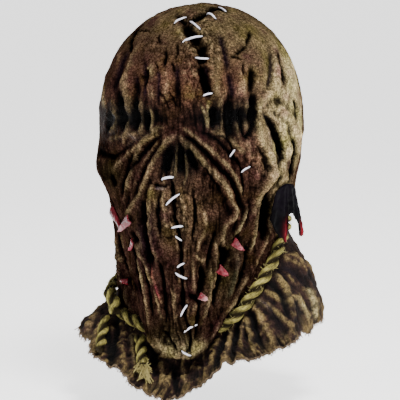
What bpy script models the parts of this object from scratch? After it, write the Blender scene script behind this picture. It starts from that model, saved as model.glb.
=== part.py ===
"""Ghoul mask: a hollow latex hood with a ragged cloth collar, a neck rope and torn flaps of skin.

Metres, +Z up, the face looks along -Y.  The origin is inside the crown, where the head carries the mask.
Tables hold shares of the named sizes.  "across" and "down" are measured on a drawing plane that faces
the front three-quarter view: across 1 is half the head width, down 1 is the height of the mask.
"""
import math

import bmesh
import bpy
import numpy as np
from mathutils import Vector
from mathutils.bvhtree import BVHTree

HEAD_WIDTH = 0.220
HEAD_DEPTH = 0.246
MASK_HEIGHT = 0.440
SKIN_WALL = 0.003
COLLAR_WALL = 0.0025
COLLAR_HALF_WIDTH = 0.133
COLLAR_HALF_DEPTH = 0.130
FLAP_WALL = 0.0015
ROPE_DIAMETER = 0.0135
FOLD_HEIGHT = 0.010
FOLD_WIDTH = 0.010
RUFFLE_HEIGHT = 0.010
CHEEKBONE = 0.011
CLEARANCE = 0.0006
COLLAR_FIT = 0.0018
SEAT_GAP = 0.0003
SEAT_STEP = 0.00005
SEAT_REACH = 0.008
VIEW_TURN = math.radians(15.0)
VIEW_RISE = math.radians(8.0)

CROWN_MARGIN = 0.006
NECK_MIDDLE = 0.04
WALL_CLAMP = 0.7
THROAT_ROUNDING = 5
NECK_DROP = 0.825
DRAPE_REACH = 0.985
DRAPE_FLARE = 0.01
DRAPE_DEPTH = 0.85
HOOD_COLUMNS = 60
HOOD_ROWS = 36
COLLAR_COLUMNS = 56
COLLAR_ROWS = 5
ROPE_SIDES = 8
ROPE_STEPS = 44
SAMPLES_PER_FOLD = 12
FRONT_CROWDING = 0.5
NARROWEST_FOLD = 0.0065

# Shares and counts of the main form.
POLE_RISE = 0.007
FOLD_REACH = 3.0
FOLD_END = 0.18
FOLD_END_LEVEL = 0.4
BACK_FOLD_END = 0.1
CHEEK_PLACE = (0.46, -0.26, -0.397)
CHEEK_SIZE = (0.16, 0.17, 0.052)
FACING_START = 0.05
FACING_RANGE = 0.3
NECK_FROM_SECTION = 8.0
NECK_FULL_SECTION = 10.0
SNOUT_EDGE = 50.0
SNOUT_BLEND = 15.0
ROPE_SOFTNESS = 1.3
ROUNDED_FROM_SECTION = 14.2
ROUNDED_TO_SECTION = 18.6
ROUNDING_PULL = 0.6

# Shares and counts of the collar, the rope and the torn skin.
COLLAR_DROOP_START = 0.3
COLLAR_DROOP_RANGE = 0.5
CLEARING_STEPS = 16
CLEARING_LEAN = 0.5
ROPE_END_GIRTH = (0.7, 0.95, 1.0, 1.0, 1.0, 0.95, 0.7)
FLAP_ROWS = 5
FLAP_COLUMNS = 3
FLAP_TAPER = 1.5
FLAP_ARCH = 0.15
DRAPE_ROWS = 7
DRAPE_LEAN = 0.4
SETTLING_STEPS = 60
SETTLING_LOOK = 0.25

LATEX = (0.30, 0.24, 0.16)
CLOTH = (0.13, 0.09, 0.08)
JUTE = (0.36, 0.34, 0.12)
RAW_SKIN = (0.30, 0.05, 0.07)
DARK_SKIN = (0.07, 0.05, 0.10)
SATIN = 0.5
WET = 0.35
DULL = 0.85

# Sections of the hood: heights are drops below the crown as shares of MASK_HEIGHT, half_width is a share
# of half the head width, the other reaches are shares of half the head depth, angles are in degrees.
# side, front, back: drops.  middle: where the section is widest.  base: front reach away from the snout.
# snout: front reach at the middle of the face.  rear: reach to the back.  spread, flat: snout angles.
SECTIONS = (
    # name         side   front  back   half_width middle base   snout  rear   spread flat
    ("pole",       -.007, -.007, -.007, 0.000,     0.04,  -0.04, -0.04, 0.04,  90,    0),
    ("crown",      0.008, 0.011, 0.006, 0.310,     0.04,  0.290, 0.290, 0.370, 90,    0),
    ("dome",       0.039, 0.046, 0.034, 0.560,     0.03,  0.540, 0.540, 0.630, 90,    0),
    ("forehead",   0.091, 0.098, 0.086, 0.780,     0.02,  0.760, 0.760, 0.840, 90,    0),
    ("temple",     0.164, 0.166, 0.159, 0.935,     0.01,  0.900, 0.900, 0.960, 90,    0),
    ("brow",       0.239, 0.236, 0.232, 1.005,     0.00,  0.965, 0.965, 0.990, 90,    0),
    ("eyes",       0.307, 0.295, 0.302, 1.010,     0.00,  0.945, 0.945, 0.975, 90,    0),
    ("cheek",      0.375, 0.359, 0.370, 0.985,     0.00,  0.920, 0.940, 0.910, 85,    2),
    ("nose",       0.432, 0.432, 0.427, 0.945,     -.04,  0.850, 0.950, 0.820, 75,    5),
    ("lip",        0.482, 0.523, 0.473, 0.918,     -.04,  0.760, 0.975, 0.756, 67,    8),
    ("mouth",      0.523, 0.614, 0.518, 0.905,     -.02,  0.660, 0.985, 0.725, 61,    8),
    ("jaw",        0.559, 0.705, 0.559, 0.900,     0.00,  0.590, 0.970, 0.710, 57,    8),
    ("chin_front", 0.595, 0.784, 0.600, 0.895,     0.03,  0.550, 0.940, 0.705, 55,    8),
    ("chin_edge",  0.620, 0.836, 0.636, 0.895,     0.04,  0.537, 0.890, 0.705, 54,    8),
    ("chin_tip",   0.640, 0.855, 0.665, 0.895,     0.05,  0.532, 0.810, 0.705, 54,    8),
    ("under_chin", 0.655, 0.835, 0.690, 0.893,     0.06,  0.530, 0.740, 0.705, 51,    6),
    ("under_jaw",  0.672, 0.777, 0.715, 0.890,     0.07,  0.530, 0.670, 0.705, 48,    2),
    ("throat",     0.696, 0.740, 0.742, 0.886,     0.08,  0.530, 0.590, 0.710, 46,    0),
    ("neck",       0.755, 0.772, 0.780, 0.882,     0.08,  0.530, 0.530, 0.720, 60,    0),
    ("neck_hem",   0.823, 0.845, 0.823, 0.882,     0.08,  0.545, 0.545, 0.735, 80,    0),
)

# Folds, lobes and hollows of the face on the drawing plane: three points of a curve, then the width as a
# share of FOLD_WIDTH and the height as a share of FOLD_HEIGHT (below zero is a valley).
FOLDS = (
    # name               across0 down0  across1 down1  across2 down2  width height
    ("crown_split_top",  -0.15, 0.062, -0.06, 0.105, -0.01, 0.150, 0.60, -0.70),
    ("crown_split_low",  -0.01, 0.150, 0.01, 0.200, 0.08, 0.250, 0.55, -0.60),
    ("split_branch",     -0.11, 0.055, 0.06, 0.033, 0.25, 0.026, 0.50, -0.45),
    ("left_gash",        -0.57, 0.055, -0.64, 0.075, -0.70, 0.100, 0.45, -0.45),
    ("lobe_far_left",    -0.68, 0.170, -0.73, 0.215, -0.75, 0.262, 0.75, 0.40),
    ("lobe_left",        -0.56, 0.200, -0.56, 0.235, -0.58, 0.268, 0.60, 0.30),
    ("lobe_mid_left",    -0.40, 0.180, -0.38, 0.235, -0.36, 0.280, 1.20, 0.55),
    ("lobe_mid_right",   -0.09, 0.195, -0.05, 0.245, -0.04, 0.290, 1.20, 0.60),
    ("lobe_seam_right",  0.15, 0.160, 0.15, 0.230, 0.14, 0.272, 0.75, 0.45),
    ("lobe_right",       0.37, 0.170, 0.38, 0.225, 0.37, 0.258, 0.85, 0.50),
    ("lobe_far_right",   0.56, 0.150, 0.57, 0.215, 0.54, 0.250, 0.75, 0.40),
    ("brow_groove",      0.17, 0.090, 0.23, 0.165, 0.28, 0.255, 0.55, -0.45),
    ("brow_groove_far",  0.68, 0.150, 0.68, 0.190, 0.62, 0.232, 0.50, -0.35),
    ("brow_groove_mid",  -0.23, 0.170, -0.22, 0.215, -0.21, 0.255, 0.50, -0.30),
    ("eye_band_right",   0.06, 0.315, 0.30, 0.300, 0.56, 0.325, 2.00, -0.60),
    ("eye_band_left",    -0.88, 0.305, -0.68, 0.305, -0.48, 0.318, 1.80, -0.50),
    ("eye_right",        0.25, 0.262, 0.27, 0.300, 0.29, 0.342, 0.95, -1.10),
    ("eye_right_inner",  0.09, 0.280, 0.10, 0.305, 0.09, 0.332, 0.50, -0.80),
    ("eye_right_outer",  0.50, 0.262, 0.47, 0.305, 0.42, 0.352, 0.60, -0.90),
    ("eye_left_outer",   -0.81, 0.275, -0.81, 0.312, -0.80, 0.352, 0.65, -0.90),
    ("eye_left",         -0.66, 0.268, -0.66, 0.300, -0.66, 0.335, 0.60, -1.10),
    ("eye_left_inner",   -0.53, 0.290, -0.53, 0.312, -0.53, 0.335, 0.45, -0.60),
    ("temple_hollow",    -0.93, 0.292, -0.92, 0.312, -0.94, 0.335, 0.55, -0.50),
    ("hood_left",        -0.24, 0.342, -0.41, 0.400, -0.70, 0.535, 0.50, 0.50),
    ("hood_right_top",   -0.22, 0.342, 0.02, 0.415, 0.26, 0.505, 0.65, 0.70),
    ("hood_right_low",   0.26, 0.505, 0.27, 0.550, 0.21, 0.600, 0.60, 0.50),
    ("hood_outer",       -0.18, 0.317, 0.11, 0.375, 0.39, 0.480, 0.50, 0.40),
    ("hood_valley",      -0.05, 0.362, 0.13, 0.415, 0.32, 0.495, 0.45, -0.40),
    ("nose_hollow",      -0.23, 0.372, -0.21, 0.415, -0.20, 0.455, 1.40, -1.10),
    ("face_split_top",   -0.29, 0.455, -0.24, 0.560, -0.20, 0.655, 0.50, -0.60),
    ("face_split_low",   -0.20, 0.655, -0.17, 0.765, -0.12, 0.880, 0.50, -0.60),
    ("oval_rim_left",    -0.44, 0.458, -0.50, 0.540, -0.41, 0.655, 0.50, 0.40),
    ("oval_rim_right",   0.06, 0.560, -0.03, 0.600, -0.05, 0.630, 0.50, 0.40),
    ("lip_strip_left",   -0.30, 0.700, -0.29, 0.762, -0.27, 0.825, 0.60, 0.30),
    ("lip_strip_right",  -0.09, 0.655, -0.09, 0.690, -0.09, 0.725, 0.60, 0.30),
    ("cheek_hollow",     -0.51, 0.537, -0.54, 0.600, -0.51, 0.662, 0.85, -0.60),
    ("jaw_hollow_left",  -0.41, 0.675, -0.39, 0.712, -0.36, 0.750, 0.60, -0.45),
    ("jaw_hollow_right", 0.05, 0.655, 0.01, 0.700, -0.01, 0.735, 0.60, -0.70),
    ("strand_left",      -0.65, 0.630, -0.55, 0.725, -0.49, 0.812, 0.55, 0.40),
    ("strand_far_left",  -0.77, 0.587, -0.70, 0.655, -0.64, 0.705, 0.50, 0.30),
    ("strand_right",     0.38, 0.625, 0.34, 0.690, 0.29, 0.750, 0.90, 0.40),
    ("rim_ridge_top",    0.71, 0.125, 0.71, 0.225, 0.58, 0.295, 0.55, 0.50),
    ("rim_ridge_mid",    0.58, 0.295, 0.61, 0.375, 0.67, 0.430, 0.55, 0.50),
    ("rim_ridge_low",    0.67, 0.430, 0.55, 0.495, 0.47, 0.575, 0.50, 0.40),
    ("ear_hollow",       0.64, 0.300, 0.73, 0.362, 0.71, 0.430, 0.60, -0.70),
    ("ear_ridge",        0.69, 0.295, 0.85, 0.362, 0.87, 0.395, 0.50, 0.50),
    ("flap_cavity",      0.69, 0.487, 0.67, 0.530, 0.67, 0.570, 0.90, -0.90),
    ("cheek_fold_top",   -0.35, 0.320, -0.58, 0.365, -0.83, 0.412, 0.50, 0.40),
    ("cheek_fold_low",   -0.41, 0.350, -0.61, 0.430, -0.74, 0.500, 0.50, 0.30),
    ("cheek_valley",     -0.49, 0.375, -0.58, 0.425, -0.69, 0.487, 0.45, -0.40),
)

# Plain folds at the back: angle from the front in degrees, drops as shares of MASK_HEIGHT, then shares.
BACK_FOLDS = (
    # angle top    bottom width height
    (118,   0.18,  0.55,  0.9,  -0.25),
    (146,   0.12,  0.60,  1.0,  -0.30),
    (172,   0.08,  0.52,  0.9,  -0.35),
    (201,   0.14,  0.62,  1.0,  -0.25),
    (232,   0.20,  0.56,  0.9,  -0.30),
)

# The rope loop: angle from the front towards +X in degrees, drop as a share of MASK_HEIGHT, how deep it
# pulls the neck in and how far it stands off, both as shares of the rope's diameter.
ROPE_LINE = (
    # angle drop   pull  stand
    (0,     0.806, 0.10, 0.00),
    (18,    0.802, 0.10, 0.00),
    (38,    0.768, 0.10, 0.00),
    (62,    0.652, 0.65, 0.00),
    (87,    0.563, 0.95, 0.00),
    (120,   0.530, 0.85, 0.00),
    (180,   0.545, 0.40, 0.00),
    (225,   0.625, 0.20, 0.00),
    (256,   0.715, 0.10, 0.35),
    (285,   0.755, 0.10, 0.00),
    (325,   0.797, 0.10, 0.00),
)

# The hem of the collar: angle from the front, drop and reach as shares, and the ruffle at that place.
COLLAR_HEM = (
    # angle drop   reach ruffle
    (0,     0.952, 0.98, 0.60),
    (15,    0.916, 0.98, -0.50),
    (30,    0.857, 0.98, 0.50),
    (45,    0.854, 1.00, -0.60),
    (60,    0.825, 1.00, 0.70),
    (75,    0.813, 1.00, -0.50),
    (90,    0.784, 1.00, 0.40),
    (110,   0.780, 0.98, -0.60),
    (130,   0.800, 0.96, 0.70),
    (150,   0.815, 0.95, -0.60),
    (170,   0.830, 0.95, 0.60),
    (190,   0.835, 0.95, -0.60),
    (212,   0.830, 0.96, 0.70),
    (234,   0.820, 0.97, -0.60),
    (255,   0.820, 0.99, 0.40),
    (270,   0.825, 1.00, -0.30),
    (285,   0.838, 1.00, 0.40),
    (300,   0.849, 1.00, -0.70),
    (315,   0.866, 1.00, 0.50),
    (330,   0.891, 0.99, -0.30),
    (345,   0.925, 0.98, 0.30),
)

# Rope pieces that lie on the collar: points on the drawing plane, thickness as a share of the rope's.
ROPE_PIECES = (
    # name             across0 down0  across1 down1  across2 down2  thickness
    ("rope_hitch",      -0.92, 0.742, -0.86, 0.764, -0.81, 0.786, 1.05),
    ("rope_tail_side",  -0.95, 0.802, -0.97, 0.842, -1.01, 0.885, 0.90),
    ("rope_tail_front", -0.60, 0.842, -0.59, 0.880, -0.58, 0.922, 0.95),
)

# Torn tongues of skin: root and tip on the drawing plane, widths and lifts as shares of FOLD_WIDTH.
TORN_FLAPS = (
    # name          across0 down0  across1 down1  width0 width1 lift0 lift1
    ("torn_flap_1", -0.87, 0.522, -0.895, 0.578, 0.90, 0.30, 0.16, 0.30),
    ("torn_flap_2", -0.68, 0.545, -0.765, 0.575, 1.10, 0.30, 0.16, 0.40),
    ("torn_flap_3", -0.65, 0.602, -0.675, 0.628, 0.70, 0.30, 0.16, 0.35),
    ("torn_flap_4", -0.72, 0.706, -0.800, 0.702, 0.70, 0.30, 0.16, 0.35),
    ("torn_flap_5", 0.29, 0.600, 0.385, 0.622, 1.00, 0.25, 0.20, 0.45),
    ("torn_flap_6", 0.15, 0.665, 0.230, 0.682, 1.00, 0.45, 0.16, 0.40),
    ("torn_flap_7", -0.02, 0.733, 0.060, 0.742, 0.80, 0.40, 0.16, 0.40),
)

# The large drape beside the jaw: a row per column of it, from its top edge to its torn lower edge.
EAR_DRAPE = (
    # across0 down0  across1 down1
    (0.69,    0.475, 0.64,   0.535),
    (0.72,    0.467, 0.70,   0.578),
    (0.75,    0.462, 0.77,   0.602),
    (0.78,    0.460, 0.78,   0.550),
    (0.81,    0.460, 0.83,   0.532),
    (0.84,    0.463, 0.88,   0.550),
    (0.86,    0.472, 0.925,  0.590),
    (0.875,   0.490, 0.945,  0.578),
)


def smooth(value):
    """Ease from 0 to 1."""
    value = np.clip(value, 0.0, 1.0)
    return value * value * (3.0 - 2.0 * value)


def through(table, place):
    """A smooth curve through the rows of an open table; place counts rows."""
    table = np.asarray(table, float)
    last = len(table) - 1
    index = np.clip(np.floor(place).astype(int), 0, last - 1)
    step = (place - index)[..., None]
    before = table[np.clip(index - 1, 0, last)]
    start = table[index]
    end = table[index + 1]
    after = table[np.clip(index + 2, 0, last)]
    rise = (end - before) * 0.5
    fall = (after - start) * 0.5
    bend = 3.0 * (end - start) - 2.0 * rise - fall
    twist = 2.0 * (start - end) + rise + fall
    return start + step * (rise + step * (bend + step * twist))


def round_table(table, angle):
    """A smooth curve through the rows of a table that starts with an angle and closes on itself."""
    table = np.asarray(table, float)
    wrapped = np.vstack((table[-2:], table, table[:2]))
    wrapped[:2, 0] -= 360.0
    wrapped[-2:, 0] += 360.0
    degrees = np.mod(np.degrees(angle), 360.0)
    index = np.searchsorted(wrapped[:, 0], degrees, side="right") - 1
    index = np.clip(index, 1, len(wrapped) - 3)
    width = wrapped[index + 1, 0] - wrapped[index, 0]
    place = index + (degrees - wrapped[index, 0]) / width
    return through(wrapped[:, 1:], place)


def view_axes():
    """Right, up and towards-the-viewer directions of the drawing plane."""
    right = np.array((math.cos(VIEW_TURN), math.sin(VIEW_TURN), 0.0))
    up = np.array((
        -math.sin(VIEW_TURN) * math.sin(VIEW_RISE),
        math.cos(VIEW_TURN) * math.sin(VIEW_RISE),
        math.cos(VIEW_RISE),
    ))
    toward = np.array((
        math.sin(VIEW_TURN) * math.cos(VIEW_RISE),
        -math.cos(VIEW_TURN) * math.cos(VIEW_RISE),
        math.sin(VIEW_RISE),
    ))
    return right, up, toward


RIGHT, UP, TOWARD = view_axes()


def rope_line(angle):
    """Height, pull and stand-off of the rope at an angle from the front."""
    drop, pull, stand = np.moveaxis(round_table(ROPE_LINE, angle), -1, 0)
    return SKIN_WALL - drop * MASK_HEIGHT, pull * ROPE_DIAMETER, stand * ROPE_DIAMETER


def hood_base(place, angle):
    """Points of the hood before its folds; place counts sections, angle is from the front."""
    row = through([section[1:] for section in SECTIONS], place)
    side, front, back, half_width, middle, base, snout, rear, spread, flat = np.moveaxis(row, -1, 0)
    turn = np.abs(np.mod(angle + math.pi, 2.0 * math.pi) - math.pi)
    ahead = np.cos(turn)
    reach = np.clip(spread - flat, 1.0, 90.0)
    bulge = smooth((spread - np.degrees(turn)) / reach)
    half_depth = HEAD_DEPTH / 2.0
    x = half_width * HEAD_WIDTH / 2.0 * np.sin(angle)
    facing = middle - (middle + base) * ahead - (snout - base) * bulge
    behind = middle - (rear - middle) * ahead
    y = np.where(ahead > 0.0, facing, behind) * half_depth
    drop = side + np.where(ahead > 0.0, (front - side) * bulge, (back - side) * ahead * ahead)
    z = SKIN_WALL - (drop + POLE_RISE) * MASK_HEIGHT
    return np.stack((x, y, z), -1)


def grid_normals(points):
    """Outward normals of a grid of points that closes on itself along its columns."""
    along = np.roll(points, -1, axis=1) - np.roll(points, 1, axis=1)
    down = np.gradient(points, axis=0)
    normal = np.cross(down, along)
    length = np.linalg.norm(normal, axis=-1, keepdims=True)
    return normal / np.maximum(length, 1e-12)


def drawn(points):
    """Across and down of points on the drawing plane, in metres."""
    return points @ RIGHT, CROWN_MARGIN - points @ UP


def fold_relief(points, folds, narrowest):
    """How far the drawn folds push points out."""
    across, down = drawn(points)
    relief = np.zeros(across.shape)
    for name, a0, d0, a1, d1, a2, d2, width, height in folds:
        curve = np.array(((a0, d0), (a1, d1), (a2, d2))) * (HEAD_WIDTH / 2.0, MASK_HEIGHT)
        handle = 2.0 * curve[1] - (curve[0] + curve[2]) / 2.0
        given = width * FOLD_WIDTH
        wide = max(given, narrowest)
        amount = height * FOLD_HEIGHT * math.sqrt(given / wide)
        low = np.minimum(curve.min(0), handle) - FOLD_REACH * wide
        high = np.maximum(curve.max(0), handle) + FOLD_REACH * wide
        near = (across > low[0]) & (across < high[0]) & (down > low[1]) & (down < high[1])
        if not near.any():
            continue
        place = np.stack((across[near], down[near]), -1)
        nearest = np.full(len(place), 1.0)
        share = np.zeros(len(place))
        steps = np.linspace(0.0, 1.0, SAMPLES_PER_FOLD + 1)[:, None]
        line = (1 - steps) ** 2 * curve[0] + 2 * steps * (1 - steps) * handle + steps ** 2 * curve[2]
        for number in range(SAMPLES_PER_FOLD):
            start = line[number]
            span = line[number + 1] - start
            along = np.clip((place - start) @ span / max(span @ span, 1e-12), 0.0, 1.0)
            distance = np.linalg.norm(place - start - along[:, None] * span, axis=1)
            closer = distance < nearest
            nearest[closer] = distance[closer]
            share[closer] = (number + along[closer]) / SAMPLES_PER_FOLD
        fade = smooth(share / FOLD_END) * (1.0 - FOLD_END_LEVEL) + FOLD_END_LEVEL
        fade = fade * (smooth((1.0 - share) / FOLD_END) * (1.0 - FOLD_END_LEVEL) + FOLD_END_LEVEL)
        relief[near] += amount * np.exp(-(nearest / wide) ** 2) * fade
    return relief


def back_relief(points, angle):
    """How far the plain folds at the back push points in."""
    relief = np.zeros(points.shape[:-1])
    drop = (SKIN_WALL - points[..., 2]) / MASK_HEIGHT
    for centre, top, bottom, width, height in BACK_FOLDS:
        offset = np.abs(np.mod(angle - math.radians(centre) + math.pi, 2.0 * math.pi) - math.pi)
        distance = offset * HEAD_WIDTH / 2.0
        fade = smooth((drop - top) / BACK_FOLD_END) * smooth((bottom - drop) / BACK_FOLD_END)
        relief += height * FOLD_HEIGHT * fade * np.exp(-(distance / (width * FOLD_WIDTH)) ** 2)
    return relief


def cheek_relief(points):
    """The two cheekbones."""
    head = np.array((HEAD_WIDTH, HEAD_DEPTH, MASK_HEIGHT))
    centre = head * CHEEK_PLACE
    size = head * CHEEK_SIZE
    mirrored = points.copy()
    mirrored[..., 0] = np.abs(mirrored[..., 0])
    return CHEEKBONE * np.exp(-np.sum(((mirrored - centre) / size) ** 2, axis=-1))


def columns_round(count):
    """Angles of the columns of a ring, crowded towards the drawing plane."""
    share = np.arange(count) * 2.0 * math.pi / count
    return share - FRONT_CROWDING * np.sin(share) + VIEW_TURN


def hood_points():
    """The grid of points of the outside of the hood, from below the pole to the hem of the neck."""
    places = np.linspace(0.0, 1.0, HOOD_ROWS + 1)[1:] * (len(SECTIONS) - 1)
    place, angle = np.meshgrid(places, columns_round(HOOD_COLUMNS), indexing="ij")
    points = hood_base(place, angle)
    normal = grid_normals(points)
    facing = smooth((normal @ TOWARD - FACING_START) / FACING_RANGE)
    relief = fold_relief(points, FOLDS, NARROWEST_FOLD) * facing
    relief = relief + back_relief(points, angle) + cheek_relief(points)
    height, pull, stand = rope_line(angle)
    neck = smooth((place - NECK_FROM_SECTION) / (NECK_FULL_SECTION - NECK_FROM_SECTION))
    turn = np.degrees(np.abs(np.mod(angle + math.pi, 2.0 * math.pi) - math.pi))
    snout_free = smooth((turn - SNOUT_EDGE) / SNOUT_BLEND)
    below = np.exp(-((points[..., 2] - height) / (ROPE_SOFTNESS * ROPE_DIAMETER)) ** 2)
    relief = relief - pull * below * neck * snout_free
    points = points + normal * relief[..., None]
    soft = smooth(place - ROUNDED_FROM_SECTION) * smooth(ROUNDED_TO_SECTION - place) * ROUNDING_PULL
    for _ in range(THROAT_ROUNDING):
        between = (points[2:] + points[:-2]) / 2.0
        points[1:-1] += (between - points[1:-1]) * soft[1:-1, :, None]
    return points


def made(name, vertices, faces, colour, roughness):
    """A mesh object with its own material in the object's collection."""
    mesh = bpy.data.meshes.new(name)
    mesh.from_pydata([tuple(float(number) for number in point) for point in vertices], [], faces)
    shape = bmesh.new()
    shape.from_mesh(mesh)
    bmesh.ops.recalc_face_normals(shape, faces=shape.faces)
    shape.to_mesh(mesh)
    shape.free()
    thing = bpy.data.objects.new(name, mesh)
    material = bpy.data.materials.new(name)
    material.use_nodes = True
    shader = material.node_tree.nodes["Principled BSDF"]
    shader.inputs["Base Color"].default_value = (*colour, 1.0)
    shader.inputs["Roughness"].default_value = roughness
    shader.inputs["Metallic"].default_value = 0.0
    mesh.materials.append(material)
    PARTS.objects.link(thing)
    return thing


def triangles(thing):
    """Split the faces into triangles, so that later seating tests see the faces that are kept."""
    shape = bmesh.new()
    shape.from_mesh(thing.data)
    bmesh.ops.triangulate(shape, faces=shape.faces)
    shape.to_mesh(thing.data)
    shape.free()
    return thing


def thickened(thing, wall):
    """Give an open surface its wall, grown inwards, and make it a plain mesh."""
    solidify = thing.modifiers.new("wall", "SOLIDIFY")
    solidify.thickness = wall
    solidify.offset = -1.0
    solidify.thickness_clamp = WALL_CLAMP
    shape = thing.evaluated_get(bpy.context.evaluated_depsgraph_get())
    mesh = bpy.data.meshes.new_from_object(shape)
    thing.modifiers.clear()
    old = thing.data
    thing.data = mesh
    mesh.name = thing.name
    bpy.data.meshes.remove(old)
    return triangles(thing)


def ring_faces(rows, columns, start=0):
    """Quads between the rows of a closed ring of points."""
    faces = []
    for row in range(rows - 1):
        for column in range(columns):
            after = (column + 1) % columns
            first = start + row * columns
            faces.append((first + column, first + columns + column, first + columns + after, first + after))
    return faces


def tree_of(*things):
    """A search tree over the faces of some objects."""
    vertices = []
    faces = []
    for thing in things:
        start = len(vertices)
        vertices.extend(vertex.co.copy() for vertex in thing.data.vertices)
        faces.extend([start + index for index in face.vertices] for face in thing.data.polygons)
    return BVHTree.FromPolygons(vertices, faces)


def clear_of(tree, point, room, outward):
    """A point moved away from the surfaces of a tree until it has room."""
    point = Vector(point)
    for _ in range(CLEARING_STEPS):
        place, _, _, distance = tree.find_nearest(point, room * 2.0)
        if place is None or distance >= room:
            break
        away = (point - place).normalized() + Vector(outward) * CLEARING_LEAN
        point += away.normalized() * (room - distance + CLEARANCE)
    return point


def on_surface(tree, across, down):
    """Where the line of sight through a drawn place meets the surfaces of a tree, and the normal."""
    plane = across * HEAD_WIDTH / 2.0 * RIGHT + (CROWN_MARGIN - down * MASK_HEIGHT) * UP
    hit = tree.ray_cast(Vector(plane + TOWARD), Vector(-TOWARD))
    if hit[0] is None:
        place, normal, _, _ = tree.find_nearest(Vector(plane + TOWARD * HEAD_DEPTH * 0.1))
        return place, normal
    return hit[0], hit[1]


def neck_face(tree, outward, level):
    """The outer face of the first wall that a level line from the middle of the neck meets."""
    axis = Vector((0.0, NECK_MIDDLE * HEAD_DEPTH, level))
    inner = tree.ray_cast(axis, Vector(outward))[0]
    outer = tree.ray_cast(inner + Vector(outward) * 1e-5, Vector(outward), 5.0 * SKIN_WALL)[0]
    return outer if outer is not None else inner


def make_hood():
    points = hood_points()
    rows, columns = points.shape[:2]
    pole = (0.0, SECTIONS[0][5] * HEAD_DEPTH / 2.0, SKIN_WALL)
    vertices = [pole] + list(points.reshape(-1, 3))
    faces = [(0, 1 + column, 1 + (column + 1) % columns) for column in range(columns)]
    faces += ring_faces(rows, columns, 1)
    return thickened(made("hood", vertices, faces, LATEX, SATIN), SKIN_WALL)


def collar_points(hood_tree):
    """The grid of points of the outside of the collar, from under the rope to its hem."""
    angle = columns_round(COLLAR_COLUMNS)
    height, _, _ = rope_line(angle)
    drop, reach, ruffle = np.moveaxis(round_table(COLLAR_HEM, angle), -1, 0)
    top_z = height - ROPE_DIAMETER / 2.0 - 3.0 * CLEARANCE
    hem_z = SKIN_WALL - drop * MASK_HEIGHT
    side = np.stack((np.sin(angle), -np.cos(angle)), -1)
    droop = smooth((np.cos(angle) - COLLAR_DROOP_START) / COLLAR_DROOP_RANGE)
    room = COLLAR_WALL + COLLAR_FIT
    grid = np.zeros((COLLAR_ROWS + 1, COLLAR_COLUMNS, 3))
    for column in range(COLLAR_COLUMNS):
        outward = np.array((side[column, 0], side[column, 1], 0.0))
        hem = outward * (reach[column] * COLLAR_HALF_WIDTH, reach[column] * COLLAR_HALF_DEPTH, 0.0)
        for row in range(COLLAR_ROWS + 1):
            share = row / COLLAR_ROWS
            level = top_z[column] + (hem_z[column] - top_z[column]) * share
            start = np.array(neck_face(hood_tree, outward, top_z[column])) + outward * room
            flare = math.sin(share * math.pi / 2.0) * (1.0 - droop[column]) + share ** 2 * droop[column]
            point = start + (hem - start) * flare + outward * ruffle[column] * RUFFLE_HEIGHT * share
            point[2] = level
            if level > SKIN_WALL - NECK_DROP * MASK_HEIGHT:
                neck = np.array(neck_face(hood_tree, outward, level)) + outward * room
                if (point - neck) @ outward < 0.0:
                    point = neck
            grid[row, column] = point
    return grid


def make_collar(hood):
    grid = collar_points(tree_of(hood))
    rows, columns = grid.shape[:2]
    return thickened(
        made("collar", list(grid.reshape(-1, 3)), ring_faces(rows, columns), CLOTH, DULL),
        COLLAR_WALL,
    )


def tube(name, path, radius, closed, colour, roughness):
    """A round tube along a path, its radius given at each point, with flat ends where it is open."""
    path = np.asarray(path, float)
    count = len(path)
    if closed:
        ahead = np.roll(path, -1, axis=0) - np.roll(path, 1, axis=0)
    else:
        ahead = np.gradient(path, axis=0)
    ahead = ahead / np.linalg.norm(ahead, axis=1, keepdims=True)
    side = np.cross(ahead, (0.0, 0.0, 1.0)) + np.cross(ahead, TOWARD) * 0.3
    side = side / np.linalg.norm(side, axis=1, keepdims=True)
    over = np.cross(side, ahead)
    turns = np.arange(ROPE_SIDES) * 2.0 * math.pi / ROPE_SIDES
    ring = np.cos(turns)[None, :, None] * side[:, None] + np.sin(turns)[None, :, None] * over[:, None]
    vertices = (path[:, None] + ring * np.asarray(radius)[:, None, None]).reshape(-1, 3)
    faces = ring_faces(count, ROPE_SIDES)
    if closed:
        last = (count - 1) * ROPE_SIDES
        for column in range(ROPE_SIDES):
            after = (column + 1) % ROPE_SIDES
            faces.append((last + column, column, after, last + after))
    else:
        faces.append(tuple(range(ROPE_SIDES)))
        faces.append(tuple((count - 1) * ROPE_SIDES + column for column in range(ROPE_SIDES)))
    return triangles(made(name, list(vertices), faces, colour, roughness))


def make_rope(hood, collar):
    tree = tree_of(hood, collar)
    neck = tree_of(hood)
    angle = np.arange(ROPE_STEPS) * 2.0 * math.pi / ROPE_STEPS
    height, _, stand = rope_line(angle)
    path = []
    for turn, level, off in zip(angle, height, stand):
        outward = np.array((math.sin(turn), -math.cos(turn), 0.0))
        face = neck_face(neck, outward, level)
        point = face + Vector(outward) * (ROPE_DIAMETER / 2.0 + off + 2.0 * CLEARANCE)
        path.append(tuple(clear_of(tree, point, ROPE_DIAMETER / 2.0 + CLEARANCE, outward)))
    return tube("neck_rope", path, np.full(ROPE_STEPS, ROPE_DIAMETER / 2.0), True, JUTE, DULL)


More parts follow.
